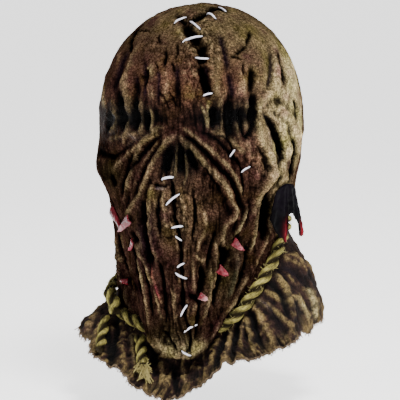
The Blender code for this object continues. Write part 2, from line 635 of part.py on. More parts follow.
def make_rope_pieces(things):
    for name, a0, d0, a1, d1, a2, d2, thickness in ROPE_PIECES:
        tree = tree_of(*things)
        radius = thickness * ROPE_DIAMETER / 2.0
        path = []
        inward = Vector()
        for share in np.linspace(0.0, 1.0, len(ROPE_END_GIRTH)):
            across = (1 - share) ** 2 * a0 + 2 * share * (1 - share) * (2 * a1 - (a0 + a2) / 2)
            across += share ** 2 * a2
            down = (1 - share) ** 2 * d0 + 2 * share * (1 - share) * (2 * d1 - (d0 + d2) / 2)
            down += share ** 2 * d2
            place, normal = on_surface(tree, across, down)
            outward = (normal + Vector(TOWARD) * 0.5).normalized()
            point = place + outward * (radius + CLEARANCE)
            path.append(tuple(clear_of(tree, point, radius + 2.0 * CLEARANCE, outward)))
            inward -= outward
        piece = tube(name, path, radius * np.array(ROPE_END_GIRTH), False, JUTE, DULL)
        seat(piece, things, inward)
        things.append(piece)


def seat(thing, others, inward):
    """Move a finished piece towards what carries it until only the seating gap is left."""
    tree = tree_of(*others)
    inward = Vector(inward).normalized()
    points = [vertex.co.copy() for vertex in thing.data.vertices]
    faces = [tuple(face.vertices) for face in thing.data.polygons]
    middle = sum(points, Vector()) / len(points)
    radius = max((point - middle).length for point in points) + SEAT_REACH
    near = [
        vertex.co.copy() for other in others for vertex in other.data.vertices
        if (vertex.co - middle).length < radius
    ]
    reached = -1.5 * SEAT_REACH
    while reached < SEAT_REACH:
        shift = inward * (reached + SEAT_STEP)
        moved = [point + shift for point in points]
        own = BVHTree.FromPolygons(moved, faces)
        if own.overlap(tree):
            break
        if min(tree.find_nearest(point)[3] for point in moved) < SEAT_GAP:
            break
        if near and min(own.find_nearest(point)[3] for point in near) < SEAT_GAP:
            break
        reached += SEAT_STEP
    for vertex, point in zip(thing.data.vertices, points):
        vertex.co = point + inward * reached


def sheet(name, grid, colour, roughness):
    """A closed thin sheet from an open grid of outside points."""
    rows, columns = grid.shape[:2]
    faces = []
    for row in range(rows - 1):
        for column in range(columns - 1):
            first = row * columns + column
            faces.append((first, first + columns, first + columns + 1, first + 1))
    flap = made(name, list(grid.reshape(-1, 3)), faces, colour, roughness)
    towards = Vector(TOWARD)
    total = sum((face.normal.dot(towards) * face.area for face in flap.data.polygons), 0.0)
    if total < 0.0:
        flap.data.flip_normals()
    return thickened(flap, FLAP_WALL)


def settled(tree, grid, outward, room):
    """A grid moved outwards as one until every point of it has room from the surfaces of a tree."""
    for _ in range(SETTLING_STEPS):
        near = min(tree.find_nearest(Vector(point))[3] for point in grid.reshape(-1, 3))
        inside = any(
            tree.ray_cast(Vector(point), Vector(outward), SETTLING_LOOK * FOLD_WIDTH + room)[0]
            for point in grid.reshape(-1, 3)
        )
        if near >= room and not inside:
            break
        grid = grid + outward * CLEARANCE
    return grid


def make_flaps(things):
    for name, a0, d0, a1, d1, width0, width1, lift0, lift1 in TORN_FLAPS:
        tree = tree_of(*things)
        root, normal0 = on_surface(tree, a0, d0)
        tip, normal1 = on_surface(tree, a1, d1)
        ahead = np.array(tip - root)
        outward = np.array((normal0 + normal1 + Vector(TOWARD)).normalized())
        aside = np.cross(outward, ahead)
        aside /= np.linalg.norm(aside)
        grid = []
        for share in np.linspace(0.0, 1.0, FLAP_ROWS):
            width = (width0 + (width1 - width0) * share ** FLAP_TAPER) * FOLD_WIDTH
            lift = (lift0 + (lift1 - lift0) * share) * FOLD_WIDTH + FLAP_WALL
            line = []
            for offset in np.linspace(-0.5, 0.5, FLAP_COLUMNS):
                arch = lift + FLAP_ARCH * FOLD_WIDTH * (1.0 - 4.0 * offset * offset)
                line.append(np.array(root) + ahead * share + aside * offset * width + outward * arch)
            grid.append(line)
        grid = settled(tree, np.array(grid), outward, FLAP_WALL + 3.0 * CLEARANCE)
        flap = sheet(name, grid, RAW_SKIN, WET)
        seat(flap, things, -outward)
        things.append(flap)


def make_ear_flap(things):
    tree = tree_of(*things)
    grid = []
    for share in np.linspace(0.0, 1.0, DRAPE_ROWS):
        line = []
        for a0, d0, a1, d1 in EAR_DRAPE:
            across = (a0 + (a1 - a0) * share) * HEAD_WIDTH / 2.0
            rise = CROWN_MARGIN - (d0 + (d1 - d0) * share) * MASK_HEIGHT
            wide = (DRAPE_REACH + DRAPE_FLARE * share) * HEAD_WIDTH / 2.0
            deep = DRAPE_DEPTH * wide
            edge = math.hypot(wide * RIGHT[0], deep * RIGHT[1])
            turn = math.asin(min(across / edge, 0.999)) + math.atan2(deep * RIGHT[1], wide * RIGHT[0])
            x = wide * math.sin(turn)
            y = -deep * math.cos(turn)
            z = (rise - x * UP[0] - y * UP[1]) / UP[2]
            line.append((x, y, z))
        grid.append(line)
    outward = RIGHT + TOWARD * DRAPE_LEAN
    outward = outward / np.linalg.norm(outward)
    grid = settled(tree, np.array(grid), outward, FLAP_WALL + 2.0 * CLEARANCE)
    flap = sheet("ear_flap", grid, DARK_SKIN, WET)
    seat(flap, things, -outward)
    things.append(flap)


for old in list(bpy.data.objects):
    bpy.data.objects.remove(old, do_unlink=True)
PARTS = bpy.data.collections.new("ghoul_mask")
bpy.context.scene.collection.children.link(PARTS)

HOOD = make_hood()
COLLAR = make_collar(HOOD)
ROPE = make_rope(HOOD, COLLAR)
SOLIDS = [HOOD, COLLAR, ROPE]
make_rope_pieces(SOLIDS)
make_ear_flap(SOLIDS)
make_flaps(SOLIDS)
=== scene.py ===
"""A ghoul mask dressed for its render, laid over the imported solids.

Painted latex skin, a ragged cloth collar, a laid rope, torn flaps, white sutures and loose fibres.
Metres, +Z up, the face looks along -Y.  Tables measure on a drawing plane that faces the front
three-quarter view: across counts 100ths of half the head's width from its middle, and down counts
400ths of the mask's height from the crown.  Widths and heights in them are millimetres.
"""
import math
import random

import bmesh
import bpy
import numpy as np
from bpy.props import FloatProperty, FloatVectorProperty, IntProperty
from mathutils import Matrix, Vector, noise
from mathutils.bvhtree import BVHTree


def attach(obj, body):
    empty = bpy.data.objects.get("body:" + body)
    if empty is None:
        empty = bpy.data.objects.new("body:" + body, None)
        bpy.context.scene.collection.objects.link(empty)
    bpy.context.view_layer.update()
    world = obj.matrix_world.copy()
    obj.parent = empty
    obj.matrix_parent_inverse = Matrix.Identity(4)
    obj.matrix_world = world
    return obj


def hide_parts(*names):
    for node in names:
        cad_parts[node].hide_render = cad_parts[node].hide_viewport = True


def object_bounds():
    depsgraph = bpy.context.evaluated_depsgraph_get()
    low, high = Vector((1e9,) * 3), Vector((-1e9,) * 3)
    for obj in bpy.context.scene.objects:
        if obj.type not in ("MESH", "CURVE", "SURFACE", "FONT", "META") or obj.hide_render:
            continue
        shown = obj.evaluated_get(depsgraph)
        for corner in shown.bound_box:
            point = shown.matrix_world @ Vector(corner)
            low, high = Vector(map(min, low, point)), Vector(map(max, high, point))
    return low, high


bl_info = {
    "name": "Ghoul mask",
    "version": (1, 0, 0),
    "blender": (4, 5, 0),
    "location": "3D View > Sidebar > Mask",
    "description": "Dresses an overhead latex mask with its skin, collar, rope, flaps and sutures",
    "category": "Object",
}

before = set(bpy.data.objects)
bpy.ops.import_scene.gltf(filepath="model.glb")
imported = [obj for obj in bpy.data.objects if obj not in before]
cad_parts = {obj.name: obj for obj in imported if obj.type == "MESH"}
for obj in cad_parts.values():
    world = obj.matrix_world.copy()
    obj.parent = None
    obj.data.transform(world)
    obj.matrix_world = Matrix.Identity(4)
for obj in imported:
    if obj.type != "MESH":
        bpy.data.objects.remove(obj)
CAD_LOW, CAD_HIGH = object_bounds()

MM = 0.001
HEAD_WIDTH = 0.220
HEAD_DEPTH = 0.246
MASK_HEIGHT = 0.440
SKIN_WALL = 0.003
COLLAR_HALF_WIDTH = 0.133
COLLAR_HALF_DEPTH = 0.130
ROPE_DIAMETER = 0.0135
CHEEKBONE = 0.011
RUFFLE_HEIGHT = 0.010
FOLD_WIDTH = 0.010
CROWN_MARGIN = 0.006
NECK_MIDDLE = 0.04
NECK_DROP = 0.825
VIEW_TURN = math.radians(15.0)
VIEW_RISE = math.radians(8.0)
FRONT_CROWDING = 0.5
FORM_ROWS = 36
FORM_COLUMNS = 60
SKIN_ROWS = 250
SKIN_COLUMNS = 320
INNER_STEP = 5
CLOTH_ROWS = 44
CLOTH_COLUMNS = 540
SENSOR_WIDTH = 36.0
VIEW_WIDTH = 400 * 1.1 * MM
FLOOR_HALF = 15.0
# A soft patch on the drawing plane where the key light falls, painted brighter as painted light: its middle,
# then its reach.
LIT_SIDE = (84, 128, 30, 66)
# Sockets of a colour mix node.
MIX_A = 6
MIX_B = 7
MIX_OUT = 2

# Sections of the hood: heights are drops below the crown as shares of MASK_HEIGHT, half_width is a share
# of half the head width, the other reaches are shares of half the head depth, angles are in degrees.
SECTIONS = (
    # name         side   front  back   half_width middle base   snout  rear   spread flat
    ("pole",       -.007, -.007, -.007, 0.000,     0.04,  -0.04, -0.04, 0.04,  90,    0),
    ("crown",      0.008, 0.011, 0.006, 0.310,     0.04,  0.290, 0.290, 0.370, 90,    0),
    ("dome",       0.039, 0.046, 0.034, 0.560,     0.03,  0.540, 0.540, 0.630, 90,    0),
    ("forehead",   0.091, 0.098, 0.086, 0.780,     0.02,  0.760, 0.760, 0.840, 90,    0),
    ("temple",     0.164, 0.166, 0.159, 0.935,     0.01,  0.900, 0.900, 0.960, 90,    0),
    ("brow",       0.239, 0.236, 0.232, 1.005,     0.00,  0.965, 0.965, 0.990, 90,    0),
    ("eyes",       0.307, 0.295, 0.302, 1.010,     0.00,  0.945, 0.945, 0.975, 90,    0),
    ("cheek",      0.375, 0.359, 0.370, 0.985,     0.00,  0.920, 0.940, 0.910, 85,    2),
    ("nose",       0.432, 0.432, 0.427, 0.945,     -.04,  0.850, 0.950, 0.820, 75,    5),
    ("lip",        0.482, 0.523, 0.473, 0.918,     -.04,  0.760, 0.975, 0.756, 67,    8),
    ("mouth",      0.523, 0.614, 0.518, 0.905,     -.02,  0.660, 0.985, 0.725, 61,    8),
    ("jaw",        0.559, 0.705, 0.559, 0.900,     0.00,  0.590, 0.970, 0.710, 57,    8),
    ("chin_front", 0.595, 0.784, 0.600, 0.895,     0.03,  0.550, 0.940, 0.705, 55,    8),
    ("chin_edge",  0.620, 0.836, 0.636, 0.895,     0.04,  0.537, 0.890, 0.705, 54,    8),
    ("chin_tip",   0.640, 0.855, 0.665, 0.895,     0.05,  0.532, 0.810, 0.705, 54,    8),
    ("under_chin", 0.655, 0.835, 0.690, 0.893,     0.06,  0.530, 0.740, 0.705, 51,    6),
    ("under_jaw",  0.672, 0.777, 0.715, 0.890,     0.07,  0.530, 0.670, 0.705, 48,    2),
    ("throat",     0.696, 0.740, 0.742, 0.886,     0.08,  0.530, 0.590, 0.710, 46,    0),
    ("neck",       0.755, 0.772, 0.780, 0.882,     0.08,  0.530, 0.530, 0.720, 60,    0),
    ("neck_hem",   0.823, 0.845, 0.823, 0.882,     0.08,  0.545, 0.545, 0.735, 80,    0),
)

# Paints: name, colour, and how much of it a fold or a zone lays on. Black and deep are painted shade;
# plum, laid mostly in grooves and valleys, is a purple tint and painted shade there.
TONES = {
    "black": ("#030202", 1.00),
    "deep": ("#0f0809", 0.88),
    "plum": ("#2b1c30", 0.80),
    "lilac": ("#766c8c", 0.50),
    "rust": ("#75503f", 0.55),
    "brown": ("#4a3129", 0.60),
    "olive": ("#7b6c4a", 0.60),
    "moss": ("#3f3d20", 0.60),
    "tan": ("#937a58", 0.58),
    "pale": ("#b8a878", 0.72),
    "grey": ("#54573f", 0.60),
    "flesh": ("#a8404c", 0.75),
}

# Folds in these tones are painted shade: they darken what lies under them, as shade darkens holes, slits
# and deep hollows. The others are brushed on.
SHADE_TONES = ("black", "deep")

# Folds of the skin on the drawing plane: three points of a curve, its width and height, and its paint.
FOLDS = (
    # name             across0 down0 across1 down1 across2 down2 width height tone
    ("split_trunk_top",    -15, 25, -9, 38, -1, 47, 6.0, -6.5, "black"),
    ("split_trunk_mid",    -1, 47, 1, 57, -1, 68, 5.6, -6.5, "black"),
    ("split_trunk_low",    -1, 68, 3, 84, 9, 101, 4.4, -5.0, "black"),
    ("split_branch_in",    -11, 22, -3, 20, 6, 13, 3.4, -4.5, "black"),
    ("split_branch_out",   6, 13, 14, 9, 25, 10, 3.0, -4.0, "black"),
    ("split_branch_left",  -14, 25, -20, 21, -24, 17, 2.8, -3.5, "black"),
    ("split_lip_left_top", -24, 31, -17, 44, -9, 54, 3.6, 2.2, "olive"),
    ("split_lip_left_low", -9, 54, -9, 68, -4, 84, 3.4, 2.0, "rust"),
    ("split_lip_right_top", -4, 29, 5, 41, 10, 52, 3.6, 2.2, "olive"),
    ("split_lip_right_low", 10, 52, 9, 68, 13, 84, 3.4, 2.0, "rust"),
    ("split_end_streak",   6, 106, 7, 116, 7, 126, 1.9, 1.6, "pale"),
    ("gash_top",           -57, 22, -64, 28, -68, 38, 2.8, -3.6, "black"),
    ("gash_low",           -68, 38, -70, 46, -69, 53, 2.0, -2.4, "black"),
    ("gash_side",          -63, 31, -56, 32, -50, 35, 1.2, -1.4, "black"),
    ("tear_down",          -54, 72, -51, 80, -56, 89, 1.5, -2.0, "black"),
    ("tear_cross",         -59, 80, -53, 79, -48, 73, 1.3, -1.6, "black"),
    ("tear_edge",          -51, 72, -48, 75, -46, 80, 1.3, 1.3, "pale"),
    ("nick_a",             -35, 54, -34, 62, -36, 71, 1.6, -2.0, "black"),
    ("nick_b",             -24, 48, -23, 55, -25, 63, 1.4, -1.6, "deep"),
    ("nick_c",             -40, 38, -41, 42, -40, 47, 1.2, -1.4, "black"),
    ("nick_d",             -44, 67, -42, 70, -41, 74, 1.2, -1.4, "black"),
    ("nick_e",             -29, 67, -27, 71, -26, 76, 1.2, -1.4, "black"),
    ("crack_brow_a",       -41, 95, -34, 103, -31, 113, 1.2, -1.5, "deep"),
    ("crack_brow_b",       -33, 96, -27, 102, -24, 113, 1.2, -1.5, "deep"),
    ("crack_brow_c",       -40, 108, -33, 106, -25, 100, 1.0, -1.2, "deep"),
    ("hole_right_a",       48, 34, 47, 40, 45, 47, 1.9, -2.4, "black"),
    ("hole_right_b",       43, 50, 39, 54, 34, 58, 1.8, -2.2, "black"),
    ("hole_right_c",       29, 61, 34, 61, 39, 64, 1.7, -2.0, "black"),
    ("hole_right_d",       39, 68, 40, 74, 40, 80, 1.5, -1.8, "black"),
    ("lobe_left_rim_top",  -57, 44, -65, 59, -71, 74, 4.6, 2.5, "brown"),
    ("lobe_left_rim_low",  -71, 74, -76, 92, -74, 114, 4.6, 3.2, "brown"),
    ("lobe_left_band",     -71, 50, -81, 72, -87, 97, 4.4, -2.6, "plum"),
    ("lobe_left_strip",    -80, 54, -82, 63, -84, 74, 2.6, 1.8, "rust"),
    ("lobe_left_edge",     -97, 68, -98, 90, -95, 114, 3.2, 1.6, "pale"),
    ("lobe_left_hollow",   -64, 78, -63, 88, -61, 100, 3.6, -3.4, "plum"),
    ("lobe_a",             -46, 60, -45, 85, -48, 106, 9.6, 3.4, "brown"),
    ("lobe_b",             -34, 72, -33, 90, -35, 110, 6.9, 3.2, "rust"),
    ("lobe_c",             -13, 72, -12, 90, -11, 108, 8.7, 4.0, "rust"),
    ("lobe_d",             14, 48, 15, 76, 14, 108, 8.1, 3.2, "olive"),
    ("lobe_e",             37, 64, 40, 82, 39, 104, 8.4, 4.2, "rust"),
    ("lobe_f",             52, 50, 57, 72, 53, 98, 7.8, 3.1, "brown"),
    ("groove_a",           -55, 62, -54, 82, -55, 104, 3.2, -2.1, "plum"),
    ("groove_b",           -40, 72, -40, 90, -41, 108, 2.6, -1.6, "plum"),
    ("groove_c",           -23, 68, -23, 86, -22, 106, 4.1, -2.7, "plum"),
    ("groove_d",           17, 34, 23, 56, 26, 76, 4.6, -3.0, "plum"),
    ("groove_e",           26, 76, 29, 88, 31, 104, 4.9, -3.4, "plum"),
    ("groove_f",           48, 72, 48, 84, 46, 96, 3.8, -2.7, "black"),
    ("groove_g",           68, 52, 69, 74, 63, 92, 3.5, -2.4, "plum"),
    ("groove_h",           73, 54, 78, 69, 82, 87, 2.5, -2.1, "black"),
    ("groove_i",           3, 66, 6, 84, 5, 104, 2.6, -1.6, "plum"),
    ("side_lobe_top",      84, 50, 89, 74, 92, 96, 5.6, 2.6, "pale"),
    ("side_lobe_low",      93, 96, 97, 112, 99, 132, 4.8, 2.2, "pale"),
    ("side_nick",          90, 101, 92, 105, 93, 110, 1.4, -1.8, "black"),
    ("rim_a",              71, 46, 75, 72, 70, 96, 3.8, 4.2, "pale"),
    ("rim_b",              70, 96, 59, 105, 57, 120, 3.4, 3.8, "pale"),
    ("rim_c",              57, 120, 57, 137, 64, 153, 3.4, 4.4, "pale"),
    ("rim_d",              64, 153, 71, 168, 66, 181, 3.6, 4.8, "pale"),
    ("rim_e",              66, 181, 57, 196, 48, 217, 3.4, 4.2, "olive"),
    ("ear_top",            71, 110, 85, 116, 95, 131, 3.4, 3.6, "olive"),
    ("ear_outer",          95, 131, 98, 146, 95, 168, 3.2, 3.2, "pale"),
    ("ear_ridge_top",      66, 116, 77, 129, 84, 144, 3.0, 3.4, "pale"),
    ("ear_ridge_mid",      84, 144, 87, 150, 85, 159, 3.6, 3.4, "pale"),
    ("ear_ridge_low",      85, 159, 76, 172, 64, 189, 2.4, 3.0, "olive"),
    ("ear_ridge_end",      64, 189, 56, 208, 51, 242, 2.2, 2.6, "olive"),
    ("ear_hollow",         65, 119, 74, 136, 80, 160, 3.8, -6.0, "deep"),
    ("ear_strip",          66, 124, 68, 146, 71, 168, 2.0, 1.6, "plum"),
    ("ear_valley",         91, 140, 92, 158, 88, 182, 2.4, -3.4, "deep"),
    ("socket_band_right",  4, 119, 28, 119, 58, 118, 9.5, -4.0, "deep"),
    ("socket_band_left",   -92, 122, -70, 120, -46, 122, 9.0, -3.4, "deep"),
    ("socket_r_inner",     11, 109, 12, 120, 11, 131, 3.2, -6.0, "black"),
    ("socket_r_main",      27, 102, 28, 120, 27, 142, 4.8, -9.0, "black"),
    ("socket_r_side",      39, 111, 39, 122, 41, 139, 2.3, -5.0, "black"),
    ("socket_r_outer",     50, 98, 52, 112, 53, 126, 4.4, -8.0, "black"),
    ("socket_r_tail",      53, 124, 48, 134, 42, 142, 2.8, -5.0, "black"),
    ("socket_r_ridge",     44, 102, 45, 114, 43, 128, 1.7, 3.0, "plum"),
    ("socket_r_shelf",     20, 105, 20, 115, 21, 128, 1.9, 2.4, "brown"),
    # Painted highlight: a pale line where the socket ridge catches the light.
    ("glint_ridge_right",    -1, 108, 4, 119, 6, 133, 2.2, 3.2, "pale"),
    ("socket_l_far",       -93, 112, -92, 121, -94, 132, 3.2, -4.4, "black"),
    ("socket_l_rim",       -90, 111, -85, 121, -92, 134, 1.4, 2.4, "pale"),
    ("socket_l_outer",     -80, 95, -79, 112, -78, 130, 4.4, -8.0, "black"),
    ("socket_l_ridge",     -73, 121, -74, 132, -77, 147, 1.8, 3.0, "olive"),
    ("socket_l_main",      -65, 101, -66, 115, -65, 131, 3.6, -9.0, "black"),
    ("socket_l_floor",     -70, 134, -66, 138, -62, 141, 2.2, 1.2, "lilac"),
    ("socket_l_mid_ridge", -60, 109, -58, 122, -60, 135, 1.7, 3.0, "olive"),
    ("socket_l_inner",     -54, 116, -53, 125, -52, 135, 2.7, -5.0, "black"),
    # Painted highlight: a pale line where the socket ridge catches the light.
    ("glint_ridge_left",     -49, 111, -47, 122, -49, 133, 1.8, 3.0, "pale"),
    ("muzzle_left_top",    -24, 137, -33, 143, -43, 156, 2.5, 4.4, "tan"),
    ("muzzle_left_mid",    -43, 156, -52, 176, -58, 192, 2.5, 4.2, "tan"),
    ("muzzle_left_low",    -58, 192, -67, 204, -74, 218, 2.4, 3.4, "olive"),
    ("muzzle_right_top",   -22, 137, -6, 154, 8, 170, 4.0, 5.4, "olive"),
    ("muzzle_right_mid",   8, 170, 22, 184, 30, 202, 4.0, 5.4, "tan"),
    ("muzzle_right_low",   30, 202, 34, 213, 25, 222, 3.4, 4.4, "olive"),
    ("muzzle_right_end",   25, 222, 21, 232, 21, 244, 2.8, 3.4, "olive"),
    ("muzzle_right_seam",  -12, 151, 6, 172, 20, 194, 1.0, -1.4, "deep"),
    ("outer_ridge_top",    -20, 129, -3, 141, 14, 156, 2.7, 3.4, "olive"),
    ("outer_ridge_low",    14, 156, 32, 176, 39, 196, 2.7, 3.4, "olive"),
    ("outer_valley_top",   -14, 139, 4, 154, 18, 170, 1.9, -3.4, "deep"),
    ("outer_valley_low",   18, 170, 31, 184, 37, 204, 1.9, -3.4, "deep"),
    ("brow_valley_right",  2, 134, 22, 148, 34, 166, 2.4, -3.0, "plum"),
    ("brow_ridge_right",   8, 132, 28, 142, 44, 158, 2.6, 2.6, "brown"),
    ("snout_hollow_left",  -30, 149, -33, 160, -37, 175, 4.6, -9.0, "black"),
    ("snout_hollow_mid",   -21, 146, -20, 160, -20, 172, 3.4, -7.0, "black"),
    ("snout_hollow_right", -12, 150, -9, 160, -5, 170, 3.6, -7.0, "black"),
    ("snout_strand_a",     -24, 143, -24, 162, -26, 182, 1.2, 4.0, "tan"),
    ("snout_strand_b",     -15, 156, -14, 172, -17, 188, 1.2, 4.0, "olive"),
    ("snout_strand_c",     -35, 158, -37, 170, -36, 182, 1.1, 3.0, "brown"),
    ("fan_a",              -36, 128, -52, 135, -80, 152, 2.4, 3.4, "olive"),
    ("fan_b",              -37, 131, -60, 150, -75, 200, 2.4, 3.6, "olive"),
    ("fan_c",              -42, 126, -64, 134, -92, 140, 2.2, 2.6, "brown"),
    ("fan_d",              -36, 134, -60, 146, -87, 170, 2.0, 2.6, "tan"),
    ("fan_e",              -34, 138, -52, 158, -67, 196, 1.8, 2.6, "rust"),
    ("fan_valley_a",       -42, 132, -62, 141, -86, 158, 2.0, -3.2, "plum"),
    ("fan_valley_b",       -40, 139, -62, 160, -80, 188, 2.4, -3.8, "plum"),
    ("fan_valley_c",       -38, 143, -55, 168, -64, 192, 1.7, -3.0, "plum"),
    ("fan_valley_d",       -66, 156, -74, 172, -78, 196, 2.0, -2.6, "deep"),
    ("cheek_band",         -103, 150, -95, 155, -84, 158, 3.0, -2.4, "deep"),
    ("cheek_hole",         -90, 176, -88, 180, -86, 185, 2.2, -4.0, "black"),
    ("cheek_crease",       -97, 187, -92, 197, -86, 207, 1.7, -2.6, "black"),
    ("cheek_lobe_right",   40, 140, 53, 160, 54, 180, 6.0, 3.0, "rust"),
    ("cheek_crack_top",    15, 137, 27, 143, 31, 158, 1.3, -2.2, "black"),
    ("cheek_crack_mid",    31, 158, 37, 165, 39, 176, 1.4, -2.4, "black"),
    ("cheek_crack_low",    39, 176, 41, 186, 40, 197, 1.2, -1.8, "black"),
    ("seam_a",             -29, 180, -27, 198, -26, 215, 2.1, -5.0, "black"),
    ("seam_b",             -26, 215, -22, 232, -20, 247, 1.9, -5.0, "black"),
    ("seam_c",             -20, 247, -19, 264, -18, 286, 1.8, -5.0, "black"),
    ("seam_d",             -18, 286, -17, 302, -15, 318, 1.9, -4.6, "black"),
    ("seam_e",             -15, 318, -10, 334, -13, 351, 1.8, -4.0, "black"),
    ("seam_lip_left",      -36, 188, -36, 208, -31, 234, 2.4, 2.6, "tan"),
    ("seam_lip_right",     -19, 188, -17, 212, -13, 238, 2.6, 2.4, "tan"),
    ("seam_lump_right",    1, 209, 4, 217, 4, 227, 3.0, 2.6, "tan"),
    ("seam_lump_left",     -45, 190, -45, 200, -43, 210, 3.0, 2.0, "tan"),
    ("oval_left_top",      -46, 183, -50, 200, -51, 216, 2.3, 3.8, "tan"),
    ("oval_left_low",      -51, 216, -50, 236, -41, 263, 2.3, 3.4, "tan"),
    ("oval_groove",        -42, 198, -42, 216, -40, 236, 1.9, -3.0, "plum"),
    ("oval_right_top",     6, 226, -1, 240, -4, 252, 2.3, 3.4, "tan"),
    ("oval_right_low",     -4, 252, -3, 257, 3, 258, 2.1, 2.8, "tan"),
    ("oval_groove_right",  -8, 196, -6, 214, -9, 240, 1.7, -2.4, "deep"),
    ("ring_hole",          -47, 184, -39, 186, -32, 185, 1.6, -2.6, "black"),
    ("ring_rim",           -46, 187, -38, 189, -31, 187, 1.2, 1.6, "lilac"),
    ("chin_strip",         -28, 284, -26, 300, -24, 323, 3.0, 2.4, "tan"),
    ("lip_strip",          -8, 254, -8, 272, -7, 293, 2.3, 2.4, "tan"),
    ("mouth_hollow",       1, 266, 1, 278, -2, 291, 3.0, -7.0, "black"),
    ("chin_crack",         -37, 328, -30, 336, -24, 348, 1.2, -1.8, "black"),
    ("jaw_shade",          -57, 204, -55, 232, -50, 264, 4.6, -4.6, "plum"),
    ("chin_rim_left",      -43, 339, -32, 350, -20, 354, 3.2, 2.4, "pale"),
    ("chin_rim_right",     -20, 354, -8, 351, 4, 338, 3.2, 2.4, "pale"),
    ("jaw_edge_left_top",  -77, 287, -73, 305, -61, 322, 2.0, 2.8, "rust"),
    ("jaw_edge_left_low",  -61, 322, -54, 334, -43, 346, 2.0, 2.6, "rust"),
    ("jaw_edge_right_top", 47, 272, 34, 296, 21, 315, 2.2, 2.4, "olive"),
    ("jaw_edge_right_low", 21, 315, 12, 331, 0, 350, 2.2, 2.4, "tan"),
    ("string_a",           -88, 232, -83, 250, -79, 263, 1.7, 2.8, "tan"),
    ("string_b",           -79, 231, -74, 250, -66, 278, 1.7, 3.2, "tan"),
    ("string_c_top",       -67, 252, -60, 270, -55, 291, 1.7, 3.2, "pale"),
    ("string_c_low",       -55, 291, -52, 308, -51, 326, 1.6, 2.6, "tan"),
    ("string_d_top",       -63, 250, -54, 265, -47, 283, 1.5, 2.8, "tan"),
    ("string_d_low",       -47, 283, -42, 300, -38, 321, 1.5, 2.4, "tan"),
    ("string_red",         -49, 262, -44, 284, -38, 301, 1.2, 1.8, "flesh"),
    ("string_gap_a",       -84, 236, -78, 256, -71, 277, 1.7, -3.6, "deep"),
    ("string_gap_b",       -72, 238, -64, 262, -60, 291, 1.9, -5.0, "black"),
    ("string_gap_c",       -57, 262, -52, 283, -48, 313, 1.4, -3.4, "black"),
    ("string_gap_d",       -42, 258, -36, 286, -34, 320, 1.7, -3.2, "deep"),
    ("neck_lump_left",     -85, 252, -84, 268, -81, 286, 3.0, 1.6, "olive"),
    ("string_e",           45, 205, 40, 222, 31, 237, 1.6, 2.8, "pale"),
    ("string_f",           52, 230, 51, 240, 49, 251, 1.3, 2.2, "pale"),
    ("string_g",           36, 250, 32, 275, 23, 301, 4.2, 3.0, "grey"),
    ("string_h",           68, 232, 59, 252, 50, 271, 2.0, 2.8, "rust"),
    ("jaw_gap_right_a",    28, 250, 19, 274, 12, 302, 2.2, -4.6, "black"),
    ("jaw_gap_right_b",    45, 244, 44, 262, 36, 286, 1.7, -3.6, "deep"),
    ("jaw_gap_right_c",    13, 232, 9, 250, 6, 266, 1.8, -3.0, "deep"),
    ("chin_gap_right",     -1, 294, -3, 314, -6, 336, 1.8, -2.6, "deep"),
    ("chin_ridge_right",   9, 264, 8, 292, 0, 322, 2.4, 2.8, "olive"),
    ("cheek_ridge_right",  14, 238, 14, 260, 12, 286, 2.2, 2.8, "rust"),
    ("flap_pit_a",         -92, 209, -89, 213, -85, 217, 2.6, -4.4, "black"),
    ("flap_pit_b",         -68, 231, -66, 236, -62, 241, 2.4, -4.4, "black"),
    ("flap_pit_c",         -72, 279, -68, 285, -65, 291, 2.6, -4.4, "black"),
    ("flap_pit_d",         20, 247, 24, 254, 20, 265, 3.4, -6.0, "black"),
    ("flap_pit_e",         -11, 293, -6, 296, -1, 300, 2.5, -4.2, "black"),
    ("drape_cavity",       62, 195, 64, 214, 61, 236, 4.8, -8.0, "black"),
)

# Soft patches of paint: the middle and reach of each on the drawing plane, and its paint.
ZONES = (
    # across down reach_across reach_down tone
    (-10, 20, 90, 42, "olive"),
    (40, 40, 40, 40, "olive"),
    (-75, 70, 30, 34, "brown"),
    (-30, 88, 48, 24, "rust"),
    (25, 84, 36, 26, "rust"),
    # Pale dry brush, and painted light where the key light falls on the right side.
    (88, 80, 18, 60, "pale"),
    (60, 70, 18, 40, "olive"),
    # Painted shade in the eye sockets.
    (28, 120, 34, 17, "deep"),
    (-70, 118, 32, 15, "deep"),
    (-76, 170, 26, 30, "brown"),
    (-90, 175, 14, 20, "moss"),
    (30, 165, 34, 26, "brown"),
    (50, 162, 18, 26, "rust"),
    # Painted shade in the nose hollow.
    (-20, 160, 18, 18, "deep"),
    (-25, 215, 30, 32, "tan"),
    # Purple tint and painted shade along the jaw.
    (-55, 235, 10, 34, "plum"),
    (20, 225, 18, 22, "brown"),
    (-25, 300, 32, 44, "brown"),
    (-30, 330, 24, 20, "moss"),
    (20, 270, 24, 40, "moss"),
    (80, 175, 16, 40, "olive"),
    (-70, 262, 18, 40, "brown"),
    # Pale dry brush, and painted light where the key light falls on the right side.
    (84, 135, 22, 50, "pale"),
    # Painted shade in the cavity behind the drape.
    (63, 214, 8, 22, "black"),
    (-18, 346, 28, 9, "pale"),
)

# Crumbled skin: the middle and reach of each patch, and how rough it is.
CRUMBLED = (
    # across down reach_across reach_down strength
    (-2, 55, 20, 46, 1.6),
    (10, 14, 26, 10, 1.0),
    (-40, 55, 30, 30, 0.6),
    (-98, 152, 16, 10, 1.2),
    (52, 162, 20, 22, 1.0),
    (-24, 215, 26, 36, 1.0),
    (-22, 300, 22, 48, 0.6),
    (-84, 268, 12, 24, 1.0),
    (-30, 338, 24, 14, 0.7),
)

# Wet hollows, where the varnish pools.
WET = (
    # across down reach_across reach_down
    (26, 122, 32, 18),
    (-70, 120, 28, 16),
    (-22, 162, 18, 18),
)

